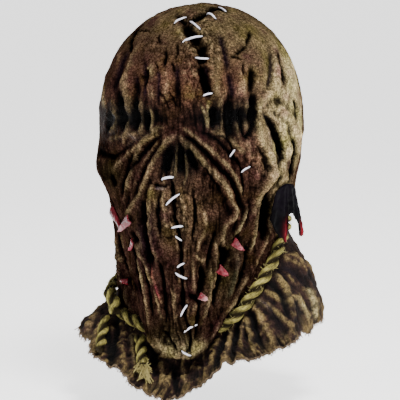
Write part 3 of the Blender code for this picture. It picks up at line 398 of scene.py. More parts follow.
# Plain folds at the back: angle from the front in degrees, drops as shares of MASK_HEIGHT.
BACK_FOLDS = (
    # angle top    bottom width height
    (104,   0.22,  0.60,  6,    2.0),
    (118,   0.18,  0.55,  9,    -3.0),
    (132,   0.14,  0.52,  7,    2.2),
    (146,   0.12,  0.60,  9,    -3.4),
    (160,   0.10,  0.50,  7,    2.0),
    (172,   0.08,  0.52,  9,    -3.6),
    (188,   0.12,  0.56,  7,    2.0),
    (201,   0.14,  0.62,  9,    -3.2),
    (217,   0.16,  0.56,  7,    2.2),
    (232,   0.20,  0.56,  9,    -3.2),
    (247,   0.24,  0.52,  6,    1.8),
)

# The rope loop: angle from the front towards +X in degrees, drop as a share of MASK_HEIGHT, how deep it
# pulls the neck in and how far it stands off, both as shares of the rope's diameter.
ROPE_LINE = (
    # angle drop   pull  stand
    (0,     0.806, 0.10, 0.00),
    (18,    0.802, 0.10, 0.00),
    (38,    0.768, 0.10, 0.00),
    (62,    0.652, 0.65, 0.00),
    (87,    0.563, 0.95, 0.00),
    (120,   0.530, 0.85, 0.00),
    (180,   0.545, 0.40, 0.00),
    (225,   0.625, 0.20, 0.00),
    (256,   0.715, 0.10, 0.35),
    (285,   0.755, 0.10, 0.00),
    (325,   0.797, 0.10, 0.00),
)

# The hem of the collar: angle from the front, drop and reach as shares, and the ruffle at that place.
COLLAR_HEM = (
    # angle drop   reach ruffle
    (0,     0.952, 0.98, 0.60),
    (15,    0.916, 0.98, -0.50),
    (30,    0.857, 0.98, 0.50),
    (45,    0.854, 1.00, -0.60),
    (60,    0.825, 1.00, 0.70),
    (75,    0.813, 1.00, -0.50),
    (90,    0.784, 1.00, 0.40),
    (110,   0.780, 0.98, -0.60),
    (130,   0.800, 0.96, 0.70),
    (150,   0.815, 0.95, -0.60),
    (170,   0.830, 0.95, 0.60),
    (190,   0.835, 0.95, -0.60),
    (212,   0.830, 0.96, 0.70),
    (234,   0.820, 0.97, -0.60),
    (255,   0.820, 0.99, 0.40),
    (270,   0.825, 1.00, -0.30),
    (285,   0.838, 1.00, 0.40),
    (300,   0.849, 1.00, -0.70),
    (315,   0.866, 1.00, 0.50),
    (330,   0.891, 0.99, -0.30),
    (345,   0.925, 0.98, 0.30),
)

# Folds of the collar that the front shows, drawn as those of the skin are.
CLOTH_FOLDS = (
    # name         across0 down0 across1 down1 across2 down2 width height tone
    ("right_top",      79, 259, 93, 259, 111, 273, 3.6, 4.0, "brown"),
    ("right_top_gap",  78, 268, 92, 272, 108, 290, 3.0, -3.6, "plum"),
    ("right_high",     71, 272, 81, 285, 92, 312, 3.8, 4.6, "olive"),
    ("right_high_gap", 66, 281, 78, 294, 86, 316, 2.8, -4.0, "deep"),
    ("right_mid",      61, 288, 75, 297, 90, 306, 3.0, 3.6, "olive"),
    ("right_low",      49, 298, 66, 305, 89, 326, 3.8, 4.6, "olive"),
    ("right_low_gap",  56, 298, 72, 312, 84, 334, 2.6, -3.6, "plum"),
    ("right_fan_a",    51, 303, 61, 320, 73, 346, 3.6, 4.6, "tan"),
    ("right_fan_gap",  49, 310, 55, 330, 62, 350, 2.6, -4.0, "deep"),
    ("right_fan_b",    46, 314, 49, 335, 53, 357, 3.2, 4.0, "olive"),
    ("right_fan_c",    44, 310, 41, 328, 38, 347, 2.8, 3.0, "tan"),
    ("right_gap_low",  39, 314, 34, 336, 30, 358, 2.8, -4.0, "deep"),
    ("front_a",        31, 322, 27, 345, 20, 368, 3.4, 4.0, "tan"),
    ("front_gap_a",    27, 322, 20, 345, 12, 368, 2.4, -3.4, "deep"),
    ("front_b",        23, 322, 16, 344, 4, 372, 3.0, 3.2, "brown"),
    ("front_c",        -41, 358, -38, 370, -35, 384, 4.0, 3.0, "tan"),
    ("front_d",        -18, 362, -16, 376, -14, 394, 3.4, 2.6, "tan"),
    ("front_gap_b",    -27, 362, -26, 376, -24, 390, 2.6, -3.0, "deep"),
    ("front_e",        -58, 348, -54, 362, -50, 378, 3.0, 2.6, "brown"),
    ("right_edge",     103, 284, 112, 302, 113, 322, 5.0, 2.4, "pale"),
    ("right_edge_in",  90, 296, 100, 306, 106, 322, 3.2, 3.0, "pale"),
    ("left_edge",      -104, 312, -110, 324, -114, 338, 4.0, 2.2, "tan"),
    ("left_a",         -112, 322, -116, 330, -118, 342, 3.0, 2.4, "brown"),
    ("left_gap_a",     -94, 330, -92, 346, -86, 362, 3.6, -3.6, "deep"),
    ("left_b",         -100, 326, -104, 338, -106, 352, 3.4, 3.4, "tan"),
    ("left_gap_b",     -83, 318, -86, 340, -88, 362, 2.8, -3.6, "black"),
    ("left_c",         -78, 322, -78, 344, -76, 366, 3.6, 3.4, "brown"),
    ("left_gap_c",     -51, 338, -48, 350, -45, 364, 3.0, -3.4, "black"),
    ("left_d",         -70, 330, -68, 350, -62, 374, 3.0, 2.6, "olive"),
)

# Rope pieces that lie on the collar, thickness as a share of the rope's.
ROPE_PIECES = (
    # name             across0 down0 across1 down1 across2 down2 thickness lays
    ("rope_hitch",      -92, 297, -86, 306, -81, 314, 1.05, 1.0),
    ("rope_tail_side",  -95, 321, -97, 337, -101, 354, 0.90, 1.4),
    ("rope_tail_front", -60, 337, -59, 352, -58, 369, 0.95, 1.4),
)

# Torn tongues of skin: root and tip, widths and lifts as shares of FOLD_WIDTH, and the tip's paint.
TORN_FLAPS = (
    # name          across0 down0 across1 down1 width0 width1 lift0 lift1 tip
    ("torn_flap_1", -87, 209, -89.5, 232, 1.30, 0.35, 0.16, 0.30, "#7a1422"),
    ("torn_flap_2", -68, 218, -76.5, 230, 1.10, 0.30, 0.16, 0.40, "#c27a82"),
    ("torn_flap_3", -65, 241, -67.5, 251, 0.70, 0.30, 0.16, 0.35, "#93404c"),
    ("torn_flap_4", -72, 282, -80, 281, 0.70, 0.30, 0.16, 0.35, "#7a1422"),
    ("torn_flap_5", 29, 240, 38.5, 249, 1.00, 0.25, 0.20, 0.45, "#b9666f"),
    ("torn_flap_6", 15, 266, 23, 273, 1.00, 0.45, 0.16, 0.40, "#9c4450"),
    ("torn_flap_7", -2, 293, 6, 297, 0.80, 0.40, 0.16, 0.40, "#d0a09e"),
)

# The large drape beside the jaw: a row per column of it, from its top edge to its torn lower edge.
EAR_DRAPE = (
    # across0 down0 across1 down1
    (66.0,    193,  60.0,   220),
    (71.0,    188,  68.0,   233),
    (75.0,    185,  77.0,   241),
    (78.0,    184,  78.0,   220),
    (81.0,    184,  83.0,   213),
    (84.0,    185,  88.0,   220),
    (86.0,    189,  92.5,   236),
    (87.5,    196,  94.5,   231),
)

# Sutures: both punctures, how far the thread bows sideways, and its thickness as a share of the thread.
SUTURES = (
    # across0 down0 across1 down1 bow girth
    (-26.4,   26.3, -14.5, 19.6,  0.8, 1.0),
    (-11.0,   23.9, -0.8,  33.0,  0.6, 1.0),
    (5.5,     16.5, 14.6,  21.7,  0.5, 1.0),
    (17.4,    7.0,  25.0,  13.3,  0.4, 0.9),
    (-18.0,   46.3, 1.3,   40.0,  1.4, 1.2),
    (-5.7,    61.7, 7.6,   62.8,  -0.8, 1.0),
    (2.0,     99.3, 11.0,  96.8,  0.6, 1.0),
    (28.0,    158.0, 33.0, 151.0, 0.3, 0.9),
    (39.3,    173.1, 47.9, 167.4, 0.5, 0.9),
    (-38.4,   180.2, -26.4, 177.7, 0.6, 1.3),
    (-34.2,   205.0, -20.8, 194.2, 0.8, 1.1),
    (-28.9,   227.2, -17.3, 225.4, 0.6, 1.1),
    (-25.0,   235.2, -18.7, 239.8, 0.3, 0.9),
    (-23.3,   265.7, -16.2, 261.6, 0.4, 1.0),
    (-25.0,   271.1, -13.7, 276.5, -0.6, 1.1),
    (-20.0,   313.8, -13.3, 302.2, 0.6, 1.0),
    (-16.6,   329.6, -3.8,  322.1, 0.8, 1.1),
    (-19.1,   347.8, -9.6,  352.8, -0.4, 1.0),
)


def linear(colour):
    """An sRGB hex colour as linear red, green and blue."""
    values = [int(colour[place:place + 2], 16) / 255.0 for place in (1, 3, 5)]
    return tuple(value / 12.92 if value <= 0.04045 else ((value + 0.055) / 1.055) ** 2.4 for value in values)


class GhoulSkinSettings(bpy.types.PropertyGroup):
    fold_depth: FloatProperty(
        name="Fold depth", description="How deep the sculpted folds are, as a share of their drawn heights",
        default=1.0, min=0.0, max=1.5, subtype="FACTOR")
    crumb_height: FloatProperty(
        name="Crumb height", description="Height of the crumbled skin", default=1.9 * MM, min=0.0,
        max=0.004, unit="LENGTH", precision=4)
    string_height: FloatProperty(
        name="String height", description="Height of the fine strings that run down the face",
        default=1.1 * MM, min=0.0, max=0.003, unit="LENGTH", precision=4)
    base: FloatVectorProperty(
        name="Base paint", description="First coat of paint on the latex", size=3, subtype="COLOR",
        default=linear("#5a3d31"))
    worn: FloatVectorProperty(
        name="Dry brush", description="Pale paint brushed over raised folds", size=3, subtype="COLOR",
        default=linear("#a8916a"))
    # Painted shade as well as a dark wash: this colour darkens creases and hollows of the skin.
    shade: FloatVectorProperty(
        name="Wash", description="Dark wash that settles in creases", size=3, subtype="COLOR",
        default=linear("#0b0508"))
    varnish: FloatProperty(
        name="Varnish roughness", description="Roughness of the satin varnish", default=0.46, min=0.05,
        max=1.0, subtype="FACTOR")


class GhoulClothSettings(bpy.types.PropertyGroup):
    wall: FloatProperty(
        name="Cloth thickness", description="Thickness of the collar's cloth", default=1.4 * MM,
        min=0.0005, max=0.0025, unit="LENGTH", precision=4)
    thread: FloatProperty(
        name="Thread spacing", description="Distance between threads of the weave", default=1.7 * MM,
        min=0.0005, max=0.004, unit="LENGTH", precision=4)
    dark: FloatVectorProperty(
        name="Dyed cloth", description="Dark dye of the collar", size=3, subtype="COLOR",
        default=linear("#2e1d18"))
    worn: FloatVectorProperty(
        name="Worn cloth", description="Colour of the worn folds", size=3, subtype="COLOR",
        default=linear("#7d6a42"))
    fray_length: FloatProperty(
        name="Fray length", description="Length of the loose threads at the hem", default=4.0 * MM,
        min=0.0, max=0.02, unit="LENGTH", precision=4)
    fray_spacing: FloatProperty(
        name="Fray spacing", description="Distance between loose threads at the hem", default=0.9 * MM,
        min=0.0004, max=0.01, unit="LENGTH", precision=4)


class GhoulRopeSettings(bpy.types.PropertyGroup):
    lays: IntProperty(
        name="Lays", description="Turns of each strand round the neck rope", default=18, min=4, max=60)
    steps: IntProperty(
        name="Steps", description="Points along each strand of the neck rope", default=520, min=60, max=800)
    fibre_length: FloatProperty(
        name="Fuzz length", description="Length of the loose fibres on the rope", default=4.0 * MM,
        min=0.0, max=0.02, unit="LENGTH", precision=4)
    light: FloatVectorProperty(
        name="Jute", description="Colour of the jute where light reaches it", size=3, subtype="COLOR",
        default=linear("#b3a75c"))
    # Painted shade: this colour stands for the shade in the grooves between the strands; the stain noise of
    # the material mixes towards it too.
    dark: FloatVectorProperty(
        name="Stained jute", description="Colour of the jute between its strands", size=3,
        subtype="COLOR", default=linear("#231c0c"))


class GhoulTrimSettings(bpy.types.PropertyGroup):
    thread: FloatProperty(
        name="Suture thickness", description="Diameter of the white sutures", default=2.1 * MM,
        min=0.0005, max=0.004, unit="LENGTH", precision=4)
    suture: FloatVectorProperty(
        name="Suture colour", description="Colour of the waxed thread", size=3, subtype="COLOR",
        default=linear("#e6e2ee"))
    flap_root: FloatVectorProperty(
        name="Raw skin", description="Colour of the torn flaps at their roots", size=3, subtype="COLOR",
        default=linear("#5c0f19"))
    drape: FloatVectorProperty(
        name="Dark skin", description="Colour of the drape beside the jaw", size=3, subtype="COLOR",
        default=linear("#070409"))
    flap_wall: FloatProperty(
        name="Flap thickness", description="Thickness of the torn flaps", default=1.4 * MM,
        min=0.0005, max=0.003, unit="LENGTH", precision=4)


class GhoulStageSettings(bpy.types.PropertyGroup):
    distance: FloatProperty(
        name="Camera distance", description="Distance from the camera to the mask", default=3.0,
        min=1.0, max=10.0, unit="LENGTH")
    paper: FloatVectorProperty(
        name="Floor", description="Colour of the studio floor", size=3, subtype="COLOR",
        default=linear("#f1f0ee"))


def smooth(value):
    """Ease from 0 to 1."""
    value = np.clip(value, 0.0, 1.0)
    return value * value * (3.0 - 2.0 * value)


def through(table, place):
    """A smooth curve through the rows of an open table; place counts rows."""
    table = np.asarray(table, float)
    place = np.asarray(place, float)
    last = len(table) - 1
    index = np.clip(np.floor(place).astype(int), 0, last - 1)
    step = (place - index).reshape(place.shape + (1,) * (table.ndim - 1))
    before = table[np.clip(index - 1, 0, last)]
    start = table[index]
    end = table[index + 1]
    after = table[np.clip(index + 2, 0, last)]
    rise = (end - before) * 0.5
    fall = (after - start) * 0.5
    bend = 3.0 * (end - start) - 2.0 * rise - fall
    twist = 2.0 * (start - end) + rise + fall
    return start + step * (rise + step * (bend + step * twist))


def round_table(table, angle):
    """A smooth curve through the rows of a table that starts with an angle and closes on itself."""
    table = np.asarray(table, float)
    wrapped = np.vstack((table[-2:], table, table[:2]))
    wrapped[:2, 0] -= 360.0
    wrapped[-2:, 0] += 360.0
    degrees = np.mod(np.degrees(angle), 360.0)
    index = np.searchsorted(wrapped[:, 0], degrees, side="right") - 1
    index = np.clip(index, 1, len(wrapped) - 3)
    width = wrapped[index + 1, 0] - wrapped[index, 0]
    place = index + (degrees - wrapped[index, 0]) / width
    return through(wrapped[:, 1:], place)


def view_axes():
    """Right, up and towards-the-viewer directions of the drawing plane."""
    right = np.array((math.cos(VIEW_TURN), math.sin(VIEW_TURN), 0.0))
    toward = np.array((
        math.sin(VIEW_TURN) * math.cos(VIEW_RISE),
        -math.cos(VIEW_TURN) * math.cos(VIEW_RISE),
        math.sin(VIEW_RISE),
    ))
    return right, np.cross(toward, right), toward


RIGHT, UP, TOWARD = view_axes()


def off_front(angle):
    """How far an angle is from the front, either way."""
    return np.abs(np.mod(angle + math.pi, 2.0 * math.pi) - math.pi)


def rope_line(angle):
    """Height, pull and stand-off of the rope at an angle from the front."""
    drop, pull, stand = np.moveaxis(round_table(ROPE_LINE, angle), -1, 0)
    return SKIN_WALL - drop * MASK_HEIGHT, pull * ROPE_DIAMETER, stand * ROPE_DIAMETER


def hood_base(place, angle):
    """Points of the hood before its folds; place counts sections, angle is from the front."""
    row = through([section[1:] for section in SECTIONS], place)
    side, front, back, half_width, middle, base, snout, rear, spread, flat = np.moveaxis(row, -1, 0)
    turn = off_front(angle)
    ahead = np.cos(turn)
    reach = np.clip(spread - flat, 1.0, 90.0)
    bulge = smooth((spread - np.degrees(turn)) / reach)
    half_depth = HEAD_DEPTH / 2.0
    x = half_width * HEAD_WIDTH / 2.0 * np.sin(angle)
    facing = middle - (middle + base) * ahead - (snout - base) * bulge
    behind = middle - (rear - middle) * ahead
    y = np.where(ahead > 0.0, facing, behind) * half_depth
    drop = side + np.where(ahead > 0.0, (front - side) * bulge, (back - side) * ahead * ahead)
    z = SKIN_WALL - (drop + 0.007) * MASK_HEIGHT
    return np.stack((x, y, z), -1)


def grid_normals(points):
    """Outward normals of a grid of points that closes on itself along its columns."""
    along = np.roll(points, -1, axis=1) - np.roll(points, 1, axis=1)
    down = np.gradient(points, axis=0)
    normal = np.cross(down, along)
    length = np.linalg.norm(normal, axis=-1, keepdims=True)
    return normal / np.maximum(length, 1e-12)


def drawn(points):
    """Across and down of points on the drawing plane, in metres."""
    return points @ RIGHT, CROWN_MARGIN - points @ UP


def drawn_size(across, down):
    """A drawn place in metres on the drawing plane."""
    return across / 100.0 * HEAD_WIDTH / 2.0, down / 400.0 * MASK_HEIGHT


def form_grid():
    """The hood's main form, as its solid has it but without folds, from the pole to the neck hem."""
    last = len(SECTIONS) - 1
    share = np.arange(FORM_COLUMNS) * 2.0 * math.pi / FORM_COLUMNS
    angles = share - FRONT_CROWDING * np.sin(share) + VIEW_TURN
    place, angle = np.meshgrid(np.linspace(0.0, last, FORM_ROWS + 1), angles, indexing="ij")
    points = hood_base(place, angle)
    normal = grid_normals(points)
    normal[0] = (0.0, 0.0, 1.0)
    height, pull, _ = rope_line(angle)
    neck = smooth((place - 8.0) / 2.0) * smooth((np.degrees(off_front(angle)) - 50.0) / 15.0)
    centre = np.array((0.46 * HEAD_WIDTH, -0.26 * HEAD_DEPTH, -0.397 * MASK_HEIGHT))
    size = np.array((0.16 * HEAD_WIDTH, 0.17 * HEAD_DEPTH, 0.052 * MASK_HEIGHT))
    mirrored = points.copy()
    mirrored[..., 0] = np.abs(mirrored[..., 0])
    relief = CHEEKBONE * np.exp(-np.sum(((mirrored - centre) / size) ** 2, axis=-1))
    relief -= pull * np.exp(-((points[..., 2] - height) / (1.3 * ROPE_DIAMETER)) ** 2) * neck
    points = points + normal * relief[..., None]
    soft = smooth(place - 14.2) * smooth(18.6 - place) * 0.6
    for _ in range(5):
        between = (points[2:] + points[:-2]) / 2.0
        points[1:-1] += (between - points[1:-1]) * soft[1:-1, :, None]
    return points


def fine_grid(rows, columns):
    """The main form at the skin's own resolution: its points, and their angles from the front."""
    form = form_grid()
    front = form[:, 0]
    travelled = np.concatenate(((0.0,), np.cumsum(np.linalg.norm(np.diff(front, axis=0), axis=1))))
    wanted = np.linspace(0.0, travelled[-1], rows + 1)[1:]
    row_place = np.interp(wanted, travelled, np.arange(len(front)))
    tall = through(form, row_place)
    turn = np.arange(columns) * 2.0 * math.pi / columns
    share = turn - 0.28 * np.sin(turn)
    place = share / (2.0 * math.pi) * FORM_COLUMNS
    wide = np.moveaxis(tall, 1, 0)
    wide = np.concatenate((wide[-3:], wide, wide[:3]))
    points = np.moveaxis(through(wide, place + 3.0), 0, 1)
    angle = share - FRONT_CROWDING * np.sin(share) + VIEW_TURN
    return points, np.broadcast_to(angle, points.shape[:2])


def curve_of(fold, samples=14):
    """The drawn curve of a fold as points in metres."""
    across = np.array((fold[1], fold[3], fold[5]), float)
    down = np.array((fold[2], fold[4], fold[6]), float)
    points = np.stack(drawn_size(across, down), -1)
    handle = 2.0 * points[1] - (points[0] + points[2]) / 2.0
    step = np.linspace(0.0, 1.0, samples + 1)[:, None]
    return (1 - step) ** 2 * points[0] + 2 * step * (1 - step) * handle + step ** 2 * points[2]


def lay_folds(points, folds, weight, depth, colour):
    """Push points out along drawn folds and paint them, which changes colour.  Returns the relief, and
    how much painted shade the folds in the shade tones lay on each place."""
    across, down = drawn(points)
    shaken = fractal(points, 0.0070, 2, seed=71.0) + 0.5 * fractal(points, 0.0025, 2, seed=73.0)
    across = across + shaken * MM
    down = down + 1.2 * MM * fractal(points, 0.0070, 2, seed=79.0)
    relief = np.zeros(across.shape)
    dark = np.zeros(across.shape)
    for fold in folds:
        line = curve_of(fold)
        width, height, tone = fold[7] * MM, fold[8] * MM * depth, TONES[fold[9]]
        low = line.min(0) - 3.0 * width
        high = line.max(0) + 3.0 * width
        near = (across > low[0]) & (across < high[0]) & (down > low[1]) & (down < high[1]) & (weight > 0.0)
        if not near.any():
            continue
        place = np.stack((across[near], down[near]), -1)
        nearest = np.full(len(place), 1.0)
        share = np.zeros(len(place))
        count = len(line) - 1
        for number in range(count):
            start = line[number]
            span = line[number + 1] - start
            along = np.clip((place - start) @ span / max(span @ span, 1e-12), 0.0, 1.0)
            distance = np.linalg.norm(place - start - along[:, None] * span, axis=1)
            closer = distance < nearest
            nearest[closer] = distance[closer]
            share[closer] = (number + along[closer]) / count
        fade = (smooth(share / 0.2) * 0.6 + 0.4) * (smooth((1.0 - share) / 0.2) * 0.6 + 0.4)
        body = np.exp(-(nearest / width) ** 2) * fade * weight[near]
        relief[near] += height * body
        # Folds in the shade tones are painted shade: they add to the dark mask instead of laying their
        # colour.
        if fold[9] in SHADE_TONES:
            dark[near] = np.maximum(dark[near], tone[1] * smooth(body * 1.5))
            continue
        # The other tones are brushed on along the folds; plum along grooves is a purple tint and painted
        # shade there.
        painted = np.clip(tone[1] * body ** 3.0, 0.0, 1.0)[:, None]
        colour[near] = colour[near] * (1.0 - painted) + np.array(linear(tone[0])) * painted
    return relief, dark


def patch(across, down, row):
    """Weight of a soft patch on the drawing plane."""
    middle = drawn_size(row[0], row[1])
    reach = drawn_size(row[2], row[3])
    return np.exp(-((across - middle[0]) / reach[0]) ** 2 - ((down - middle[1]) / reach[1]) ** 2)


def fractal(points, size, octaves, stretch=(1.0, 1.0, 1.0), seed=0.0):
    """Seeded fractal noise, about -1 to 1, at every point of an array, features about size across."""
    flat = points.reshape(-1, 3) * stretch / size + seed
    values = [noise.fractal(Vector(place), 1.0, 2.0, octaves) for place in flat]
    return np.array(values).reshape(points.shape[:-1])


def blurred(grid, reach):
    """A grid of values averaged over its neighbours; it closes on itself along its columns."""
    for _ in range(2):
        total = grid.copy()
        for step in range(1, reach + 1):
            total += np.roll(grid, step, 1) + np.roll(grid, -step, 1)
        grid = total / (2 * reach + 1)
        padded = np.concatenate((np.repeat(grid[:1], reach, 0), grid, np.repeat(grid[-1:], reach, 0)))
        total = np.zeros_like(grid)
        for step in range(2 * reach + 1):
            total += padded[step:step + len(grid)]
        grid = total / (2 * reach + 1)
    return grid


def lowest_near(grid, reach):
    """The lowest value within some steps of each place of a grid that closes along its columns."""
    low = grid.copy()
    for step in range(1, reach + 1):
        low = np.minimum(low, np.minimum(np.roll(grid, step, 1), np.roll(grid, -step, 1)))
    out = low.copy()
    for step in range(1, reach + 1):
        out[step:] = np.minimum(out[step:], low[:-step])
        out[:-step] = np.minimum(out[:-step], low[step:])
    return out


def mesh_piece(name, vertices, faces, material, attributes=None):
    """A smooth mesh object with its material and point attributes."""
    mesh = bpy.data.meshes.new(name)
    mesh.from_pydata(np.asarray(vertices, float).tolist(), [], faces)
    mesh.shade_smooth()
    for key, values in (attributes or {}).items():
        values = np.asarray(values, float)
        if values.ndim == 2:
            layer = mesh.attributes.new(key, "FLOAT_COLOR", "POINT")
            values = np.concatenate((values, np.ones((len(values), 1))), 1)
            layer.data.foreach_set("color", values.ravel())
        else:
            layer = mesh.attributes.new(key, "FLOAT", "POINT")
            layer.data.foreach_set("value", values)
    mesh.materials.append(material)
    piece = bpy.data.objects.new(name, mesh)
    bpy.context.scene.collection.objects.link(piece)
    return piece


def face_out(piece):
    """Merge doubles and turn the faces of a closed mesh outwards."""
    shape = bmesh.new()
    shape.from_mesh(piece.data)
    bmesh.ops.remove_doubles(shape, verts=shape.verts, dist=1e-6)
    bmesh.ops.recalc_face_normals(shape, faces=shape.faces)
    shape.to_mesh(piece.data)
    shape.free()


def tree_of(*pieces):
    """A search tree over the faces of some pieces."""
    vertices = []
    faces = []
    for piece in pieces:
        start = len(vertices)
        vertices.extend(vertex.co.copy() for vertex in piece.data.vertices)
        faces.extend([start + index for index in face.vertices] for face in piece.data.polygons)
    return BVHTree.FromPolygons(vertices, faces)


def on_surface(tree, across, down):
    """Where the line of sight through a drawn place meets a tree, and the normal there."""
    right, below = drawn_size(across, down)
    plane = right * RIGHT + (CROWN_MARGIN - below) * UP
    hit = tree.ray_cast(Vector(plane + TOWARD), Vector(-TOWARD))
    if hit[0] is None:
        place, normal, _, _ = tree.find_nearest(Vector(plane + TOWARD * HEAD_DEPTH * 0.1))
        return np.array(place), np.array(normal)
    return np.array(hit[0]), np.array(hit[1])


def neck_face(tree, outward, level):
    """The outer face of the first wall that a level line from the middle of the neck meets."""
    axis = Vector((0.0, NECK_MIDDLE * HEAD_DEPTH, level))
    inner = tree.ray_cast(axis, Vector(outward))[0]
    outer = tree.ray_cast(inner + Vector(outward) * 1e-5, Vector(outward), 5.0 * SKIN_WALL)[0]
    return np.array(outer if outer is not None else inner)


def clear_of(tree, point, room, outward):
    """A point moved away from the surfaces of a tree until it has room."""
    point = Vector(point)
    for _ in range(16):
        place, _, _, distance = tree.find_nearest(point, room * 2.0)
        if place is None or distance >= room:
            break
        away = (point - place).normalized() + Vector(outward) * 0.5
        point += away.normalized() * (room - distance + 0.0003)
    return np.array(point)


def add(tree, kind, inputs=None, **settings):
    """Add a node; inputs maps sockets to values, or to the sockets that feed them."""
    node = tree.nodes.new(kind)
    for name, value in settings.items():
        setattr(node, name, value)
    for key, value in (inputs or {}).items():
        if isinstance(value, bpy.types.NodeSocket):
            tree.links.new(value, node.inputs[key])
        else:
            node.inputs[key].default_value = value
    return node


def new_material(name):
    """An empty node material with its shader."""
    material = bpy.data.materials.new(name)
    material.use_nodes = True
    return material, material.node_tree, material.node_tree.nodes["Principled BSDF"]


def painted_latex(settings):
    """Foam latex, cast and brushed with thin coats of paint, then a satin varnish: pores, patchy
    sheen, dark washes in the creases and small crumbs of paint."""
    material, tree, shader = new_material("painted_foam_latex")
    place = add(tree, "ShaderNodeTexCoord").outputs["Object"]
    paint = add(tree, "ShaderNodeAttribute", attribute_name="paint").outputs["Color"]
    wet = add(tree, "ShaderNodeAttribute", attribute_name="wet").outputs["Fac"]
    # Mottling of the brushed coats, about 9 mm and 2.5 mm across.
    broad = add(tree, "ShaderNodeTexNoise", {
        "Vector": place, "Scale": 110.0, "Detail": 5.0, "Roughness": 0.65})
    fine = add(tree, "ShaderNodeTexNoise", {"Vector": place, "Scale": 420.0, "Detail": 4.0, "Roughness": 0.7})
    darker = add(tree, "ShaderNodeMapRange", {
        "Value": broad.outputs["Fac"], "From Min": 0.32, "From Max": 0.68,
        "To Min": 0.55, "To Max": 1.35}).outputs["Result"]
    grain = add(tree, "ShaderNodeMapRange", {"Value": fine.outputs["Fac"], "From Min": 0.3, "From Max": 0.7,
                                             "To Min": 0.22, "To Max": 1.65}).outputs["Result"]
    both = add(tree, "ShaderNodeMath", {0: darker, 1: grain}, operation="MULTIPLY").outputs[0]
    mottled = add(tree, "ShaderNodeVectorMath", {0: paint, "Scale": both},
                  operation="SCALE").outputs["Vector"]
    # Stains of green and purple, about 25 mm across.
    stain = add(tree, "ShaderNodeTexNoise", {"Vector": place, "Scale": 38.0, "Detail": 3.0})
    green = add(tree, "ShaderNodeMapRange", {"Value": stain.outputs["Fac"], "From Min": 0.52, "From Max": 0.7,
                                             "To Min": 0.0, "To Max": 0.8}).outputs["Result"]
    stained = add(tree, "ShaderNodeMix", {0: green, MIX_A: mottled, MIX_B: (*linear("#c3cc9a"), 1.0)},
                  data_type="RGBA", blend_type="MULTIPLY").outputs[MIX_OUT]
    violet = add(tree, "ShaderNodeMapRange", {
        "Value": stain.outputs["Fac"], "From Min": 0.48, "From Max": 0.3,
        "To Min": 0.0, "To Max": 0.9}).outputs["Result"]
    colour = add(tree, "ShaderNodeMix", {0: violet, MIX_A: stained, MIX_B: (*linear("#b79cbd"), 1.0)},
                 data_type="RGBA", blend_type="MULTIPLY").outputs[MIX_OUT]
    # Cracks of dried paint between cells about 3.3 mm across, and pores about 0.9 mm across.
    warped = add(tree, "ShaderNodeVectorMath", {0: broad.outputs["Color"], "Scale": 0.006}, operation="SCALE")
    bent = add(tree, "ShaderNodeVectorMath", {0: place, 1: warped.outputs["Vector"]}, operation="ADD")
    cells = add(tree, "ShaderNodeTexVoronoi", {"Vector": bent.outputs["Vector"], "Scale": 300.0},
                feature="DISTANCE_TO_EDGE").outputs["Distance"]
    cracks = add(tree, "ShaderNodeMapRange", {
        "Value": cells, "From Min": 0.0, "From Max": 0.09}).outputs["Result"]
    # The dark wash stays in the cracks.
    washed = add(tree, "ShaderNodeMapRange", {
        "Value": cells, "From Min": 0.0, "From Max": 0.16, "To Min": 0.3})
    colour = add(tree, "ShaderNodeVectorMath", {0: colour, "Scale": washed.outputs["Result"]},
                 operation="SCALE").outputs["Vector"]
    pores = add(tree, "ShaderNodeTexNoise", {"Vector": place, "Scale": 1100.0, "Detail": 2.0}).outputs["Fac"]
    crack_bump = add(tree, "ShaderNodeBump", {"Height": cracks, "Strength": 0.6, "Distance": 0.0009})
    fine_bump = add(tree, "ShaderNodeBump", {"Height": fine.outputs["Fac"], "Strength": 0.9,
                                             "Distance": 0.0020, "Normal": crack_bump.outputs["Normal"]})
    pore_bump = add(tree, "ShaderNodeBump", {"Height": pores, "Strength": 0.5, "Distance": 0.0003,
                                             "Normal": fine_bump.outputs["Normal"]})
    sheen = add(tree, "ShaderNodeMapRange", {"Value": broad.outputs["Fac"], "From Min": 0.3, "From Max": 0.7,
                                             "To Min": -0.12, "To Max": 0.16}).outputs["Result"]
    dry = add(tree, "ShaderNodeMath", {0: sheen, 1: settings.varnish}, operation="ADD").outputs[0]
    pooled = add(tree, "ShaderNodeMath", {0: wet, 1: -0.30}, operation="MULTIPLY").outputs[0]
    rough = add(tree, "ShaderNodeMath", {0: dry, 1: pooled}, operation="ADD", use_clamp=True).outputs[0]
    tree.links.new(colour, shader.inputs["Base Color"])
    tree.links.new(rough, shader.inputs["Roughness"])
    tree.links.new(pore_bump.outputs["Normal"], shader.inputs["Normal"])
    # The dull paint hardly shines, the pooled varnish does.
    shine = add(tree, "ShaderNodeMapRange", {"Value": wet, "To Min": 0.0, "To Max": 0.05}).outputs["Result"]
    tree.links.new(shine, shader.inputs["Specular IOR Level"])
    return material


